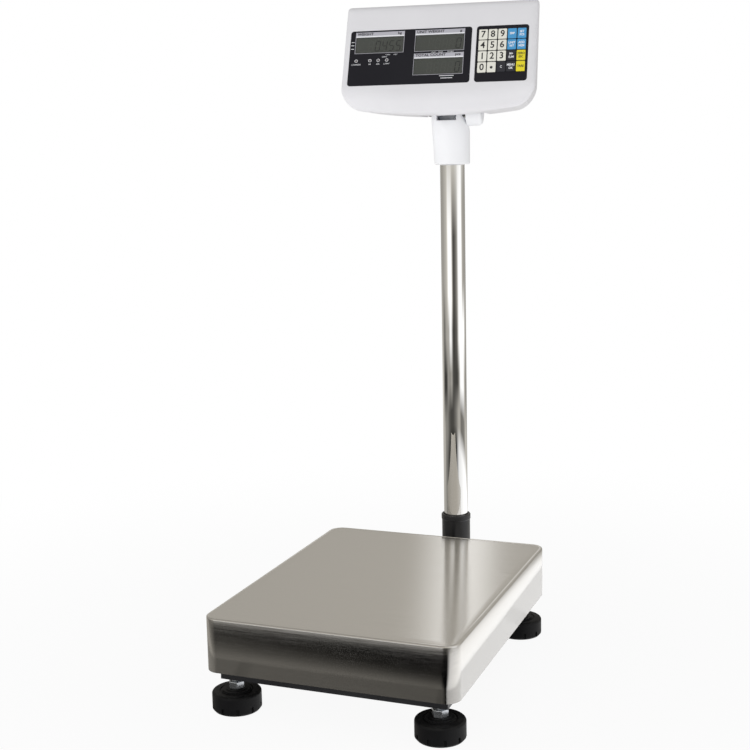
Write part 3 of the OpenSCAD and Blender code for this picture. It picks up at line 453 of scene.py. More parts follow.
# %% Platter
low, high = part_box("platter")
BEND, CORNER, SHEET = 2.2 * MM, 20 * MM, 1.2 * MM
CROWN = ((3 * MM, 0.26), (4 * MM, 0.10), (5 * MM, 0.0))  # width of each ring, its drop in mm
RIM_DROP = 0.45 * MM
bm = bmesh.new()
block(bm, low.x, low.y, low.z, high.x - low.x, high.y - low.y, high.z - low.z, CORNER, 14)
bmesh.ops.delete(bm, geom=[f for f in bm.faces if f.normal.z < -0.9], context="FACES")
rim = [e for e in bm.edges if all(v.co.z > high.z - 1e-6 for v in e.verts)]
bmesh.ops.bevel(bm, geom=rim, offset=BEND, affect="EDGES", segments=5, profile=0.5, material=-1)
deck = [f for f in bm.faces if f.normal.z > 0.99 and f.calc_area() > 0.05]
for v in deck[0].verts:
    v.co.z -= RIM_DROP
for inset, drop in CROWN:
    bmesh.ops.inset_region(bm, faces=deck, thickness=inset, depth=0, use_even_offset=True)
    for v in deck[0].verts:
        v.co.z = high.z - drop * MM
bm.normal_update()
platter = to_piece("platter_tray", bm, smooth=50)
sheet = platter.modifiers.new("sheet", "SOLIDIFY")
sheet.thickness, sheet.offset, sheet.use_even_offset = SHEET, -1, True
settle(platter)
grain_map = platter.data.uv_layers.new(name="grain")
for face in platter.data.polygons:
    n = face.normal
    for corner in face.loop_indices:
        x, y, z = platter.data.vertices[platter.data.loops[corner].vertex_index].co
        if abs(n.z) > 0.7:
            grain_map.data[corner].uv = (x, y)
        elif abs(n.y) > abs(n.x):
            grain_map.data[corner].uv = (x, z)
        else:
            grain_map.data[corner].uv = (y + 1, z)
finish_piece(platter, stainless, "platter", "stainless_sheet", "platter")

# %% [markdown]
# ## The column
# A chromed tube has to be perfectly round, or its tall reflections break into facets. A lathe
# outline with many steps does that, and turns its two lips over a little.

# %% Column
low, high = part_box("column")
POST = Vector(((low.x + high.x) / 2, (low.y + high.y) / 2, 0))
outer, wall, lip = (high.x - low.x) / 2, 1.5 * MM, 0.5 * MM
outline = (arc(outer - lip, high.z - lip, lip, 0, 90, 3) + [(outer - wall, high.z)]
           + [(outer - wall, low.z)] + arc(outer - lip, low.z + lip, lip, 270, 360, 3))
column = lathe("column_tube", outline, 160, at(POST.x, POST.y, 0), 40)
finish_piece(column, chrome, "base", "column_chrome", "column")

# %% [markdown]
# ## Where the head is
# The head is turned about the post and its panel leans back. Two matrices carry any shape from
# easy axes to its place: one for the head, one for the panel.

# %% Head axes
HEAD_TURN = math.radians(8.6)
PANEL_TILT = math.radians(25)
REAR_LEAN = math.radians(9)
HEAD_SHIFT = -12 * MM  # the head's middle is a little left of the post
post_place = at(POST.x, POST.y, 0) @ Matrix.Rotation(HEAD_TURN, 4, "Z")
head_place = post_place @ at(HEAD_SHIFT, 0, 0)
PANEL_MID = (0, -45 * MM, 872.7 * MM)
panel_place = head_place @ at(*PANEL_MID) @ Matrix.Rotation(QUARTER - PANEL_TILT, 4, "X")
print("panel faces", tuple(round(v, 3) for v in panel_place.to_3x3() @ Vector((0, 0, 1))))

# %% [markdown]
# ## The head's body
# The moulding is a block with a leaning front, a bowed underside and soft edges. Bevelling such
# a block leaves kinks where the bow meets the corners. Instead a fine grid is drawn out onto
# the body: each vertex runs along a ray from the middle until it meets the body's skin. The
# skin is what several leaning planes and one long bow have in common, rounded where they meet.

# %% The skin as planes
HEAD_HALF, BOW, LOWER_CORNER = 147.5 * MM, 780 * MM, 30 * MM
HEAD_TOP, HEAD_BOTTOM, CHIN, BACK = 952.5 * MM, 784.5 * MM, 73 * MM, 52 * MM
SIDE_DRAFT = math.tan(math.radians(5))
CHIN_BOW = 0.2164  # how far the chin bows back, per metre of width squared
EDGE, FRONT_EDGE = 3.5 * MM, 6 * MM
PANEL_OUT = 45 * MM
TOP_EDGE, REAR_EDGE, HEEL, CHIN_EDGE = (math.radians(a) for a in (57, 130, 225, 315))


def round_meet(a, b, radius):
    """Where two skins meet, rounded by a radius; negative is inside."""
    corner = np.hypot(np.maximum(a + radius, 0), np.maximum(b + radius, 0))
    return np.minimum(-radius, np.maximum(a, b)) + corner


def reach(turn, forward, up):
    """How far a point lies in the direction that turn gives, in the side view."""
    return math.cos(turn) * forward + math.sin(turn) * up


def profile_planes():
    """The side view's lines: each one's outward direction and distance."""
    top_front = PANEL_OUT - (HEAD_TOP - PANEL_MID[2]) * math.tan(PANEL_TILT)
    rear_top = -BACK + (HEAD_TOP - HEAD_BOTTOM) * math.tan(REAR_LEAN)
    rear_wall = math.pi - REAR_LEAN
    return [(PANEL_TILT, reach(PANEL_TILT, PANEL_OUT, PANEL_MID[2])),
            (TOP_EDGE, reach(TOP_EDGE, top_front, HEAD_TOP) - 1.2 * MM),
            (QUARTER, HEAD_TOP),
            (REAR_EDGE, reach(REAR_EDGE, rear_top, HEAD_TOP) - 5 * MM),
            (rear_wall, reach(rear_wall, -BACK, HEAD_BOTTOM)),
            (HEEL, reach(HEEL, -BACK, HEAD_BOTTOM) - 6 * MM),
            (CHIN_EDGE, reach(CHIN_EDGE, CHIN, HEAD_BOTTOM) - 4 * MM),
            (0, CHIN)]


PLANES = profile_planes()


def skin_depth(x, forward, z):
    """How far a point is outside the head's skin."""
    side = None
    for turn, far in PLANES:
        bowed = CHIN_BOW * x * x if turn in (0, CHIN_EDGE) else 0
        plane = np.cos(turn) * (forward + bowed) + np.sin(turn) * z - far
        side = plane if side is None else round_meet(side, plane, EDGE)
    behind = np.minimum(reach(PANEL_TILT, forward, z) - PLANES[0][1], 0)
    ends = np.abs(x) - HEAD_HALF - behind * SIDE_DRAFT
    under = np.hypot(x, z - HEAD_BOTTOM - BOW) - BOW
    return round_meet(side, round_meet(ends, under, LOWER_CORNER), FRONT_EDGE)


print("planes:", len(PLANES))

# %% Draw the grid out onto the skin
HEART = np.array((0, -6 * MM, 866 * MM))
CUTS = (118, 46, 66)
SPREAD = 0.8 * QUARTER  # sine spacing crowds the grid towards the edges
REACH = (HEAD_HALF, 58 * MM, 88 * MM)


def head_body(inside=0.0):
    """A closed grid on the skin, or a little inside it."""
    bm = bmesh.new()
    bmesh.ops.create_cube(bm, size=2)
    for axis, cuts in enumerate(CUTS):
        along = [e for e in bm.edges
                 if abs((e.verts[1].co - e.verts[0].co)[axis]) > 1e-6]
        bmesh.ops.subdivide_edges(bm, edges=along, cuts=cuts)
    grid = np.array([v.co[:] for v in bm.verts])
    grid = np.sin(grid * SPREAD) / np.sin(SPREAD)
    ray = grid * REACH
    near, far = np.zeros(len(ray)), np.full(len(ray), 2.0)
    for _ in range(40):
        half = (near + far) / 2
        spot = HEART + ray * half[:, None]
        out = skin_depth(spot[:, 0], -spot[:, 1], spot[:, 2]) + inside > 0
        far, near = np.where(out, half, far), np.where(out, near, half)
    for v, place in zip(bm.verts, HEART + ray * near[:, None]):
        v.co = place
    bmesh.ops.recalc_face_normals(bm, faces=bm.faces)
    return bm


WALL, PARTING, SEAM = 2.5 * MM, 24 * MM, 0.15 * MM
panel_in_head = at(*PANEL_MID) @ Matrix.Rotation(QUARTER - PANEL_TILT, 4, "X")
panel_out = panel_in_head.to_3x3() @ Vector((0, 0, 1))


def half_shell(name, front):
    """The front or the rear half of the moulding, as a wall of even thickness."""
    bm = head_body()
    cut = Vector(PANEL_MID) - panel_out * (PARTING + (-SEAM if front else SEAM))
    bmesh.ops.bisect_plane(bm, geom=bm.verts[:] + bm.edges[:] + bm.faces[:], dist=1e-7,
                           plane_co=cut, plane_no=panel_out, clear_inner=front,
                           clear_outer=not front)
    piece = to_piece(name, bm)
    wall = piece.modifiers.new("wall", "SOLIDIFY")
    wall.thickness, wall.offset, wall.use_even_offset = WALL, -1, True
    return settle(piece)


front_shell = half_shell("head_front", True)
rear_shell = half_shell("head_rear", False)
print("front faces", len(front_shell.data.polygons), "rear faces", len(rear_shell.data.polygons))

# %% [markdown]
# ## Openings in the moulding
# The front has two shallow beds for the overlays, and goes through behind the windows and the
# keys. The rear has the pocket for the fork, the battery door, the switch and the screw holes.

# %% Front openings
OVERLAY_H, OVERLAY_R = 92.5 * MM, 4.5 * MM
MAIN = (-137.6 * MM, 186.5 * MM)
PAD = (56 * MM, 78 * MM)
WINDOWS = ((-92 * MM, 21.9 * MM), (0.3 * MM, 21.9 * MM), (0.3 * MM, -17.4 * MM))
WINDOW_W, WINDOW_H = 74.5 * MM, 27 * MM
KEY_STEP = (14.4 * MM, 18.2 * MM)
PAD_MID = (95 * MM, 4.6 * MM)
BED, BED_GAP, WAY_GAP, THROUGH = 0.4 * MM, 0.02 * MM, 0.5 * MM, 20 * MM
bm = bmesh.new()
for left, width in (MAIN, PAD):
    block(bm, left - BED_GAP, -OVERLAY_H / 2 - BED_GAP, -BED, width + 2 * BED_GAP,
          OVERLAY_H + 2 * BED_GAP, 5 * MM, OVERLAY_R, 8)
beds = to_piece("beds", bm, panel_in_head)
bm = bmesh.new()
pad_size = (5 * KEY_STEP[0], 4 * KEY_STEP[1])
for (u, v), (wide, tall) in [(spot, (WINDOW_W, WINDOW_H)) for spot in WINDOWS] + [
        (PAD_MID, pad_size)]:
    block(bm, u - wide / 2 - WAY_GAP, v - tall / 2 - WAY_GAP, -THROUGH / 2,
          wide + 2 * WAY_GAP, tall + 2 * WAY_GAP, THROUGH)
ways = to_piece("ways", bm, panel_in_head)
carve(front_shell, [beds, ways])
print("front faces", len(front_shell.data.polygons))

# %% Rear openings
POCKET = (-32 * MM, -36 * MM, 700 * MM, 98 * MM, 150 * MM, 115 * MM, 3 * MM, 4)
LINER = (-34.5 * MM, -38.5 * MM, 776 * MM, 103 * MM, 120 * MM, 41.5 * MM)
DOOR_SPOT, SWITCH_SPOT = (-86 * MM, 863 * MM), (100 * MM, 850 * MM)
DOOR_WAY = (-43 * MM, -48 * MM, -12 * MM, 86 * MM, 96 * MM, 20 * MM, 1 * MM, 3)
SWITCH_WAY = (-6.4 * MM, -9.4 * MM, -20 * MM, 12.8 * MM, 18.8 * MM, 40 * MM)
SCREWS, SCREW_BORE = ((-128, -48), (128, -48), (-132, 70), (132, 70)), 3.2 * MM
liner = block_piece("liner", LINER)
carve(liner, [to_piece("trim", head_body(0.6 * MM))], "INTERSECT")
carve(rear_shell, [liner], "UNION")


def on_rear(u, z):
    """The rear wall's own axes at a spot: y runs down the wall, z points out."""
    back = BACK - (z - HEAD_BOTTOM) * math.tan(REAR_LEAN)
    return at(u, back, z) @ Matrix.Rotation(-(QUARTER - REAR_LEAN), 4, "X")


cutters = [block_piece("pocket", POCKET), block_piece("door_way", DOOR_WAY, on_rear(*DOOR_SPOT)),
           block_piece("switch_way", SWITCH_WAY, on_rear(*SWITCH_SPOT))]
for u, v in SCREWS:
    cutters.append(rod("bore", SCREW_BORE, 140 * MM, at(u * MM, v * MM, -104 * MM),
                       panel_in_head))
carve(rear_shell, cutters)
print("rear faces", len(rear_shell.data.polygons))

# %% Finish the two halves
for shell, part in ((front_shell, "front_housing"), (rear_shell, "rear_housing")):
    shell.data.transform(head_place)
    shell.data.set_sharp_from_angle(angle=math.radians(35))
    weigh = shell.modifiers.new("weigh", "WEIGHTED_NORMAL")
    weigh.keep_sharp, weigh.weight = True, 50
    settle(shell)
    finish_piece(shell, white_plastic, "head", "white_housing", part)

# %% [markdown]
# ## The switch's surround
# A thin raised bezel frames the rocker on the rear wall.

# %% Switch bezel
bm = bmesh.new()
block(bm, -9 * MM, -12 * MM, -0.4 * MM, 18 * MM, 24 * MM, 1.4 * MM, 2 * MM, 4)
bezel = to_piece("switch_bezel", bm, smooth=40)
BEZEL_WAY = (-6.4 * MM, -9.4 * MM, -5 * MM, 12.8 * MM, 18.8 * MM, 10 * MM, 0.8 * MM, 3)
carve(bezel, [block_piece("bezel_way", BEZEL_WAY)])
bezel.data.transform(head_place @ on_rear(*SWITCH_SPOT))
finish_piece(bezel, black_plastic, "head", "black_plastic")

# %% [markdown]
# ## The clamp knob
# A round-ended moulding that clamps the tilt. A lathe outline gives it its soft nose and the
# shallow dish round its bolt.

# %% Clamp knob
low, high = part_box("tilt_knob")
KNOB_R, KNOB_L, BOLT_WAY = 22 * MM, 24 * MM, 4.1 * MM
AXIS_Z = (low.z + high.z) / 2
outline = ([(BOLT_WAY, 0)] + arc(KNOB_R - 1.2 * MM, 1.2 * MM, 1.2 * MM, 270, 360, 3)
           + arc(KNOB_R - 6.4 * MM, KNOB_L - 6 * MM, 6 * MM, 0, 84, 9)
           + [(9 * MM, KNOB_L - 1.2 * MM), (6 * MM, KNOB_L - 1.6 * MM),
              (BOLT_WAY, KNOB_L - 1.8 * MM)])
knob_place = post_place @ at(24 * MM, 0, AXIS_Z) @ ALONG_X
knob = lathe("clamp_knob_cap", outline, 96, knob_place, 35)
# The knob takes the lighter copy of the housing white: painted light, not a different plastic.
finish_piece(knob, lit_sleeve_plastic, "clamp_knob", "white_housing", "tilt_knob")

# %% [markdown]
# ## The sleeve
# The round sleeve grows into a flat-sided fork under the head. One convex hull over a few
# circles and a rounded oblong makes the body and its shoulder without a seam, and two ears carry
# the tilt bolt. The slot between the ears is open to the front and closed low down at the back.

# %% Sleeve
low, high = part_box("head_sleeve")
SLEEVE_R, FORK, FORK_HALF = 27.5 * MM, (-29 * MM, 46 * MM), 20 * MM
SHOULDER, FORK_LOW, EAR_R, LOCK_Z = 764 * MM, 777 * MM, 16 * MM, 737 * MM
LIP = 3 * MM
bm = bmesh.new()
for r, z in arc(SLEEVE_R - LIP, low.z + LIP, LIP, 270, 360, 6) + [(SLEEVE_R, SHOULDER)]:
    bmesh.ops.create_circle(bm, radius=r, segments=96, matrix=at(0, 0, z))
block(bm, FORK[0], -FORK_HALF, FORK_LOW, FORK[1], 2 * FORK_HALF, 13.5 * MM, 5 * MM, 6)
hull = bmesh.ops.convex_hull(bm, input=bm.verts[:])
spare = [g for g in hull["geom_interior"] + hull["geom_unused"] + hull["geom_holes"]
         if isinstance(g, bmesh.types.BMVert)]
bmesh.ops.delete(bm, geom=list(set(spare)), context="VERTS")
bmesh.ops.dissolve_limit(bm, angle_limit=math.radians(0.5), verts=bm.verts, edges=bm.edges)
sleeve = to_piece("sleeve_body", bm)
ears = rod("ears", EAR_R, FORK[1], at(FORK[0] + FORK[1] / 2, 0, AXIS_Z) @ ALONG_X, segments=64)
boss = rod("boss", 8 * MM, 14 * MM, at(0, 31.5 * MM, LOCK_Z) @ ALONG_Y, segments=48)
carve(sleeve, [ears, boss], "UNION")
print("sleeve faces", len(sleeve.data.polygons))

# %% The sleeve's openings
SLOT = (-20 * MM, -40 * MM, 778 * MM, 30 * MM, 54 * MM, 40 * MM)
SLOT_BACK = (-20 * MM, 0, 788 * MM, 30 * MM, 40 * MM, 40 * MM)
cutters = [rod("bore", 19.1 * MM, 62.6 * MM, at(0, 0, 741.3 * MM), segments=128),
           rod("wire_way", 8 * MM, 12 * MM, at(0, 0, 776 * MM)),
           block_piece("slot", SLOT), block_piece("slot_back", SLOT_BACK),
           rod("screw_way", 3.1 * MM, 40 * MM, at(0, 35 * MM, LOCK_Z) @ ALONG_Y),
           rod("bolt_way", BOLT_WAY, 80 * MM, at(0, 0, AXIS_Z) @ ALONG_X)]
carve(sleeve, cutters)
sleeve.data.transform(post_place)
sleeve.data.set_sharp_from_angle(angle=math.radians(28))
# The sleeve takes the lighter copy of the housing white: painted light, not a different plastic.
finish_piece(sleeve, lit_sleeve_plastic, "sleeve", "white_housing", "head_sleeve")

# %% [markdown]
# ## The print on the panel
# Ink is thinner than paper, so each mark is a very thin solid on top of its film. Frames and
# strips are flat blocks, and words are text turned into mesh.

# %% Print helpers
FILM_TOP = 0.2 * MM
INK = 0.04 * MM


def strip(bm, left, bottom, width, height):
    """Adds an oblong of ink on the film."""
    block(bm, left, bottom, FILM_TOP, width, height, INK)


def print_on(name, bm, ink, slot="overlay_film"):
    """Finishes the ink in bm as a piece on the panel."""
    finish_piece(to_piece(name, bm, panel_place), ink, "head", slot)


def words(name, text, size, u, v, align="CENTER", lift=FILM_TOP, squeeze=1.0, bold=0.0):
    """Text as a thin mesh on the panel."""
    curve = bpy.data.curves.new(name, "FONT")
    curve.body, curve.size, curve.extrude = text, size, INK / 2
    curve.align_x, curve.align_y, curve.resolution_u = align, "CENTER", 3
    curve.offset = bold
    helper = bpy.data.objects.new(name, curve)
    scene.collection.objects.link(helper)
    graph = bpy.context.evaluated_depsgraph_get()
    mesh = bpy.data.meshes.new_from_object(helper.evaluated_get(graph))
    bpy.data.objects.remove(helper)
    mesh.transform(panel_place @ at(u, v, lift + INK / 2) @ Matrix.Diagonal((squeeze, 1, 1, 1)))
    piece = bpy.data.objects.new(name, mesh)
    scene.collection.objects.link(piece)
    return piece


def join(name, pieces):
    """Several small pieces as one."""
    with bpy.context.temp_override(active_object=pieces[0], selected_editable_objects=pieces,
                                   selected_objects=pieces):
        bpy.ops.object.join()
    pieces[0].name = name
    return pieces[0]


# %% Frames and header strips round the windows
HEADER, RULE, LINE = 6.9 * MM, 2.0 * MM, 0.6 * MM
grey, white = bmesh.new(), bmesh.new()
for u, v in WINDOWS:
    left, bottom = u - WINDOW_W / 2, v - WINDOW_H / 2
    tall = WINDOW_H + HEADER + RULE
    strip(grey, left, bottom + WINDOW_H + RULE, WINDOW_W, HEADER - LINE)
    strip(white, left, bottom + WINDOW_H, WINDOW_W, RULE)
    strip(grey, left - LINE, bottom - LINE, LINE, tall + LINE)
    strip(grey, left + WINDOW_W, bottom - LINE, LINE, tall + LINE)
    strip(grey, left, bottom - LINE, WINDOW_W, LINE)
print_on("panel_frames", grey, print_grey)
print_on("panel_rules", white, print_white)

# %% Words on the headers
CAPTIONS = (("WEIGHT", "kg"), ("UNIT WEIGHT", "g"), ("TOTAL COUNT", "pcs"))
CAPTION, CAPTION_WIDE, CAPTION_BOLD = 5.6 * MM, 1.15, 0.16 * MM
marks = []
for (u, v), pair in zip(WINDOWS, CAPTIONS):
    height = v + WINDOW_H / 2 + RULE + (HEADER - LINE) / 2
    ends = ((u - WINDOW_W / 2 + 2 * MM, "LEFT"), (u + WINDOW_W / 2 - 4 * MM, "RIGHT"))
    for text, (spot, align) in zip(pair, ends):
        marks.append(words("caption", text, CAPTION, spot, height, align, FILM_TOP + INK,
                           CAPTION_WIDE, CAPTION_BOLD))
finish_piece(join("header_words", marks), print_dark, "head", "overlay_film")

# %% Small white marks
LIGHTS, LIGHTS_V = (-126.4, -105.1, -92.2, -79), -4.3 * MM
marks = [words("mark", text, 3.4 * MM, u * MM, -10.6 * MM, squeeze=1.1)
         for u, text in zip(LIGHTS, ("CHARGE", "HI", "OK", "LOW"))]
TINY = ((-78, 4.6, "TARE", 1.2), (-66, 4.6, "NET", 1.2), (-83, 1.2, "ZERO", 1.2),
        (-8, 5.7, "LOW", 1.1), (3, 5.7, "HIGH", 1.1), (18, 5.7, "STABLE", 1.1))
marks += [words("mark", text, 2.6 * MM, u * MM, v * MM, squeeze=wide) for u, v, text, wide in TINY]
finish_piece(join("small_words", marks), print_white, "head", "overlay_film")
bm = bmesh.new()
for row in (27, 21.6, 15.6):
    strip(bm, -136 * MM, row * MM, 4.6 * MM, 0.9 * MM)
for u, v, w in ((14, -34.4, 22), (14, -38.2, 18)):
    strip(bm, (u - w / 2) * MM, v * MM, w * MM, 1.0 * MM)
print_on("mark_bars", bm, print_white)

# %% Rings round the lights
bm = bmesh.new()
for u in LIGHTS:
    middle = Vector((u * MM, LIGHTS_V, FILM_TOP))
    ring = bmesh.ops.create_circle(bm, cap_ends=False, radius=1.9 * MM, segments=24,
                                   matrix=at(*middle))
    edges = list({e for v in ring["verts"] for e in v.link_edges})
    wide = bmesh.ops.extrude_edge_only(bm, edges=edges)
    outer_ring = [g for g in wide["geom"] if isinstance(g, bmesh.types.BMVert)]
    bmesh.ops.scale(bm, vec=(1.3, 1.3, 1), verts=outer_ring, space=at(*(-middle)))
bmesh.ops.solidify(bm, geom=bm.faces[:], thickness=INK)
bmesh.ops.recalc_face_normals(bm, faces=bm.faces)
print_on("light_rings", bm, print_white)

# %% [markdown]
# ## The displays' digits
# Each figure is seven bars, leaning a little. Bars that are off still show faintly on such a
# display, so both sets are made.

# %% Seven-bar figures
BARS = {"a": (0, 1, 0), "g": (0, 0, 0), "d": (0, -1, 0), "f": (-0.5, 0.5, 1), "b": (0.5, 0.5, 1),
        "e": (-0.5, -0.5, 1), "c": (0.5, -0.5, 1)}
FIGURES = {"0": "abcdef", "4": "fgbc", "5": "afgcd", " ": ""}
FIG_W, FIG_H, FIG_STEP, FIG_DROP = 6.4 * MM, 8.2 * MM, 10.6 * MM, 1.5 * MM
BAR_WIDE, BAR_PART, SLANT, SLANT_SHIFT = 1.25 * MM, 0.84, 0.1, 0.9 * MM
LAST_FIGURE, GLASS_TOP, POINT_SIZE = 29 * MM, -1.0 * MM, 1.6 * MM


def figure(bm, bars, u, v):
    """Adds the named bars of one figure."""
    for bar in bars:
        bx, by, upright = BARS[bar]
        size = ((FIG_H if upright else FIG_W) * BAR_PART, BAR_WIDE, INK, 1)
        middle = at(u + bx * FIG_W + by * SLANT_SHIFT, v + by * FIG_H, GLASS_TOP)
        turn = Matrix.Rotation(QUARTER - SLANT if upright else 0, 4, "Z")
        bmesh.ops.create_cube(bm, size=1, matrix=middle @ turn @ Matrix.Diagonal(size))


lit, unlit = bmesh.new(), bmesh.new()
for (u, v), reading in zip(WINDOWS, (" 0455", "    0", "    0")):
    for k, sign in enumerate(reading):
        spot = u + (k - 4.0) * FIG_STEP + LAST_FIGURE
        figure(lit, FIGURES[sign], spot, v - FIG_DROP)
        figure(unlit, set(BARS) - set(FIGURES[sign]), spot, v - FIG_DROP)
point = at(WINDOWS[0][0] - 2.8 * FIG_STEP + 34.5 * MM, WINDOWS[0][1] - 9.6 * MM, GLASS_TOP)
bmesh.ops.create_cube(lit, size=1,
                      matrix=point @ Matrix.Diagonal((POINT_SIZE, POINT_SIZE, INK, 1)))
ghost = textured("display_ghost", (0.070, 0.075, 0.066), (0.066, 0.071, 0.062), 0.3, 0.36,
                 soft=0.0)
print_on("figures_on", lit, digit_ink, "display_glass")
print_on("figures_off", unlit, ghost, "display_glass")

# %% [markdown]
# ## The legends on the keys
# A legend moves with its key, so each one is its own piece on its key's body.

# %% Key legends
LEGENDS = {
    "7": (0, 0), "8": (1, 0), "9": (2, 0), "blue_1": (3, 0), "blue_2": (4, 0),
    "4": (0, 1), "5": (1, 1), "6": (2, 1), "blue_3": (3, 1), "blue_4": (4, 1),
    "1": (0, 2), "2": (1, 2), "3": (2, 2), "black_1": (3, 2), "yellow_1": (4, 2),
    "0": (0, 3), "point": (1, 3), "black_2": (2, 3), "black_3": (3, 3), "yellow_2": (4, 3)}
TWO_LINES = {"blue_1": ("SMP", ""), "blue_2": ("SET", "PCS"), "blue_3": ("UNIT", "WT"),
             "blue_4": ("ADD", "MEM"), "black_1": ("M+", "SUM"), "yellow_1": ("ZERO", "ESC"),
             "black_2": ("C", ""), "black_3": ("MENU", "OK"), "yellow_2": ("TARE", "")}
KEY_TOP = 0.7 * MM
for key, (col, row) in LEGENDS.items():
    u = PAD_MID[0] + (col - 2) * KEY_STEP[0]
    v = PAD_MID[1] + (1.5 - row) * KEY_STEP[1]
    name = "legend_" + key
    if key in TWO_LINES:
        first, second = TWO_LINES[key]
        rows = [(first, v + (2.7 * MM if second else 0)), (second, v - 2.7 * MM)]
        made = join(name, [words(name, text, 5.0 * MM, u, w, lift=KEY_TOP, squeeze=0.84,
                                 bold=0.14 * MM)
                           for text, w in rows if text])
        ink = print_dark if key.startswith("yellow") else print_white
    elif key == "point":
        made = rod(name, 2.1 * MM, INK, at(u, v - 0.5 * MM, KEY_TOP + INK / 2), panel_place, 24)
        ink = print_dark
    else:
        made, ink = words(name, key, 15 * MM, u, v, lift=KEY_TOP, squeeze=0.92,
                          bold=0.28 * MM), print_dark
    colour = key.split("_")[0] if "_" in key else "ivory"
    finish_piece(made, ink, "key_" + key, "key_" + colour)

# %% [markdown]
# ## The foot studs
# The measured studs are plain rods. Each gets a turned thread, which shows between the
# hexagon and the frame.

# %% Threaded studs
PITCH, THREAD_R, THREAD_DEEP = 1.75 * MM, 6 * MM, 0.95 * MM
STUD_FOOT, HEX_MID, HEX_TALL, HEX_TOP = 8 * MM, 34 * MM, 10 * MM, 39 * MM
HEX_R, POINT_TALL, SHANK_R, CORE = 10.97 * MM, 1.5 * MM, THREAD_R - 0.05 * MM, 0.2 * MM
for corner in ("fl", "fr", "rl", "rr"):
    low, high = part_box("foot_stud_" + corner)
    mid = at((low.x + high.x) / 2, (low.y + high.y) / 2, 0)
    count = int((high.z - POINT_TALL - HEX_TOP) / PITCH)
    outline = [(CORE, STUD_FOOT), (SHANK_R, STUD_FOOT), (SHANK_R, HEX_TOP)]
    for k in range(count):
        base = HEX_TOP + k * PITCH
        outline += [(THREAD_R - THREAD_DEEP, base + 0.2 * MM), (THREAD_R, base + 0.8 * MM),
                    (THREAD_R, base + 1.1 * MM)]
    outline += [(THREAD_R - THREAD_DEEP, high.z - POINT_TALL), (4.5 * MM, high.z), (CORE, high.z)]
    thread = lathe("stud_rod_" + corner, outline, 40, mid, 25)
    bm = bmesh.new()
    turned = mid @ at(0, 0, HEX_MID) @ Matrix.Rotation(math.radians(30), 4, "Z")
    bmesh.ops.create_cone(bm, cap_ends=True, segments=6, radius1=HEX_R, radius2=HEX_R,
                          depth=HEX_TALL, matrix=turned)
    rims = [e for e in bm.edges if abs((e.verts[0].co - e.verts[1].co).z) < 1e-6]
    bmesh.ops.bevel(bm, geom=rims, offset=0.7 * MM, affect="EDGES", segments=2, profile=0.5,
                    material=-1)
    nut = to_piece("stud_hex_" + corner, bm, smooth=20)
    finish_piece(join("stud_" + corner, [thread, nut]), zinc, "foot_" + corner, "zinc_steel",
                 "foot_stud_" + corner)

# %% [markdown]
# ## Floor and light
# A pale floor fades into a white surround. Metal shows what is around it, so the surround that
# only glossy surfaces see is a studio: bright and dim walls that draw the post's upright
# streaks, a dark floor in front that darkens the tray's front side, a white one to the right,
# and high up behind a narrow bright strip that draws the streak on the tray.

# %% Floor
bm = bmesh.new()
bmesh.ops.create_circle(bm, cap_ends=True, radius=14, segments=96)
floor = to_piece("floor", bm)
paper, tree, shader = material("floor_paper", roughness=0.9, specular_ior_level=0.0)
where = node(tree, "TexCoord").outputs["Object"]
distance = node(tree, "VectorMath", [(0, where)], operation="LENGTH")
fade = node(tree, "MapRange", [("Value", distance.outputs["Value"]),
                               ("From Min", 0.3), ("From Max", 1.3),
                               ("To Min", 0.93), ("To Max", 1.0)], interpolation_type="SMOOTHSTEP")
grain_noise = node(tree, "TexNoise", [("Vector", where), ("Scale", 60.0)])
tone = node(tree, "Mix", [("Factor", grain_noise.outputs["Fac"]),
                          ("A", (0.90, 0.90, 0.90, 1)), ("B", (0.93, 0.93, 0.93, 1))],
            data_type="RGBA")
tree.links.new(tone.outputs["Result"], shader.inputs["Base Color"])
glow = node(tree, "Emission", [("Color", (1, 1, 1, 1)), ("Strength", 1.0)])
blend = node(tree, "MixShader", [(0, fade.outputs[0]), (1, shader.outputs[0]),
                                 (2, glow.outputs[0])])
tree.links.new(blend.outputs[0], tree.nodes["Material Output"].inputs["Surface"])
floor.data.materials.append(paper)
floor.visible_glossy = False
print("floor made")

# %% Surround for reflections
world = bpy.data.worlds.new("studio")
scene.world = world
world.use_nodes = True
tree = world.node_tree
back = tree.nodes["Background"]
way = node(tree, "TexCoord").outputs["Generated"]
axes = node(tree, "SeparateXYZ", [(0, way)])
heading = node(tree, "Math", [(0, axes.outputs["Y"]), (1, axes.outputs["X"])], operation="ARCTAN2")
round_way = node(tree, "MapRange", [("Value", heading.outputs[0]),
                                    ("From Min", -math.pi), ("From Max", math.pi)])


def ramp(stops):
    """Brightness by heading, in degrees from +X."""
    made = node(tree, "ValToRGB", [(0, round_way.outputs[0])])
    bar = made.color_ramp
    while len(bar.elements) > 1:
        bar.elements.remove(bar.elements[0])
    for k, (turn, colour) in enumerate(stops):
        spot = (turn + 180) / 360
        stop = bar.elements[0] if k == 0 else bar.elements.new(spot)
        stop.position, stop.color = spot, (*colour, 1)
    return made.outputs["Color"]


def warm(value):
    """Dim walls are a little tan; bright ones are white."""
    return (value, value, value) if value > 0.8 else (value, value * 0.96, value * 0.88)


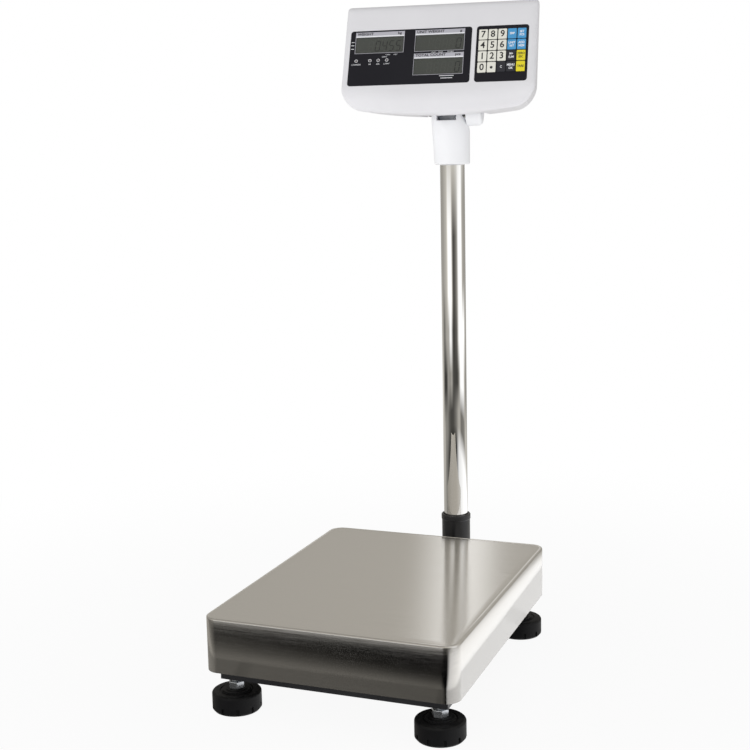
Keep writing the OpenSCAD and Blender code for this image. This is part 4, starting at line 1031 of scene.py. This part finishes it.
# Rings of wall from level downwards, and one high up: (heading, brightness) stops.
WALLS = {
    "level": [(-180, 0.36), (-157, 0.48), (-144, 0.52), (-133, 0.78), (-124, 1.2), (-93, 1.2),
              (-86, 0.5), (-76, 0.07), (-62, 0.1), (-50, 0.2), (-38, 0.38), (-28, 1.0), (-20, 1.2),
              (8, 1.2), (18, 0.55), (32, 0.38), (80, 0.34), (150, 0.36)],
    "below": [(-180, 0.18), (-172, 0.15), (-159, 0.33), (-146, 0.42), (-124, 0.46), (-115, 0.85),
              (-105, 1.2), (-96, 0.85), (-86, 0.15), (-75, 0.04), (-62, 0.09), (-46, 0.13),
              (-38, 0.38), (-28, 1.0), (-20, 1.2), (36, 1.2), (50, 0.5), (80, 0.34), (110, 0.34),
              (150, 0.55), (170, 0.28)],
    "deep": [(-180, 0.05), (-160, 0.04), (-148, 0.1), (-137, 0.34), (-125, 0.34), (-115, 0.27),
             (-105, 0.42), (-95, 0.34), (-85, 0.1), (-75, 0.07), (-45, 0.06), (-37, 0.15),
             (-26, 0.34), (-17, 0.95), (-8, 1.2), (22, 1.2), (36, 0.55), (54, 0.3), (85, 0.3),
             (110, 0.35), (145, 0.8), (168, 0.22)],
    "near": [(-180, 0.3), (-145, 0.24), (-128, 0.12), (-118, 0.09), (-104, 0.07), (-85, 0.08),
             (-60, 0.2), (-30, 0.5), (-8, 0.18), (25, 0.24), (50, 0.6), (80, 0.5), (150, 0.5)],
    "low": [(-180, 0.3), (-150, 0.14), (-122, 0.02), (-108, 0.0), (-60, 0.0), (-35, 0.9),
            (50, 1.35), (90, 1.35), (110, 0.42), (150, 0.42)],
    "high": [(-180, 0.42), (-120, 0.6), (-60, 0.7), (0, 1.05), (60, 0.7), (90, 0.56),
             (106.6, 0.57), (107.1, 2.0), (108.0, 2.0), (108.5, 0.6), (118, 0.56), (130, 0.53),
             (160, 0.42)],
}
# Each further ring fades in between two heights of the view's direction.
FADES = (("below", -0.04, -0.10), ("deep", -0.12, -0.18), ("near", -0.20, -0.25),
         ("low", -0.28, -0.32), ("high", 0.08, 0.24))
wall = ramp([(turn, warm(value)) for turn, value in WALLS["level"]])
for name, none, full in FADES:
    share = node(tree, "MapRange", [("Value", axes.outputs["Z"]), ("From Min", none),
                                    ("From Max", full)])
    ring = ramp([(turn, warm(value)) for turn, value in WALLS[name]])
    wall = node(tree, "Mix", [("Factor", share.outputs[0]), ("A", wall), ("B", ring)],
                data_type="RGBA").outputs["Result"]
kind = node(tree, "LightPath")
SOFT_LIGHT, BRIGHTER = 0.66, (-0.02, -0.20, -0.26)  # a mean, more from the front and below
lean = node(tree, "VectorMath", [(0, way), (1, BRIGHTER)], operation="DOT_PRODUCT")
soft_light = node(tree, "Math", [(0, lean.outputs["Value"]), (1, SOFT_LIGHT)], operation="ADD")
seen = node(tree, "Mix", [("Factor", kind.outputs["Is Glossy Ray"]),
                          ("A", soft_light.outputs[0]), ("B", wall)], data_type="RGBA")
shown = node(tree, "Mix", [("Factor", kind.outputs["Is Camera Ray"]),
                           ("A", seen.outputs["Result"]), ("B", (1, 1, 1, 1))], data_type="RGBA")
tree.links.new(shown.outputs["Result"], back.inputs["Color"])
print("surround made")


# %% Soft lamps
def softbox(name, spot, aim, size, power):
    """A large soft lamp that lights the shapes but doesn't show in the metal."""
    lamp = bpy.data.lights.new(name, "AREA")
    lamp.shape, lamp.size, lamp.energy = "DISK", size, power
    holder = bpy.data.objects.new(name, lamp)
    scene.collection.objects.link(holder)
    holder.location = spot
    holder.rotation_mode = "QUATERNION"
    holder.rotation_quaternion = (Vector(aim) - Vector(spot)).to_track_quat("-Z", "Y")
    holder.visible_glossy = False


softbox("front_lamp", (-1.0, -2.7, 0.3), (0, 0.1, 0.8), 1.6, 30)
softbox("right_lamp", (2.4, 0.2, 1.2), (0, 0.1, 0.5), 1.4, 2)
print("lamps made")
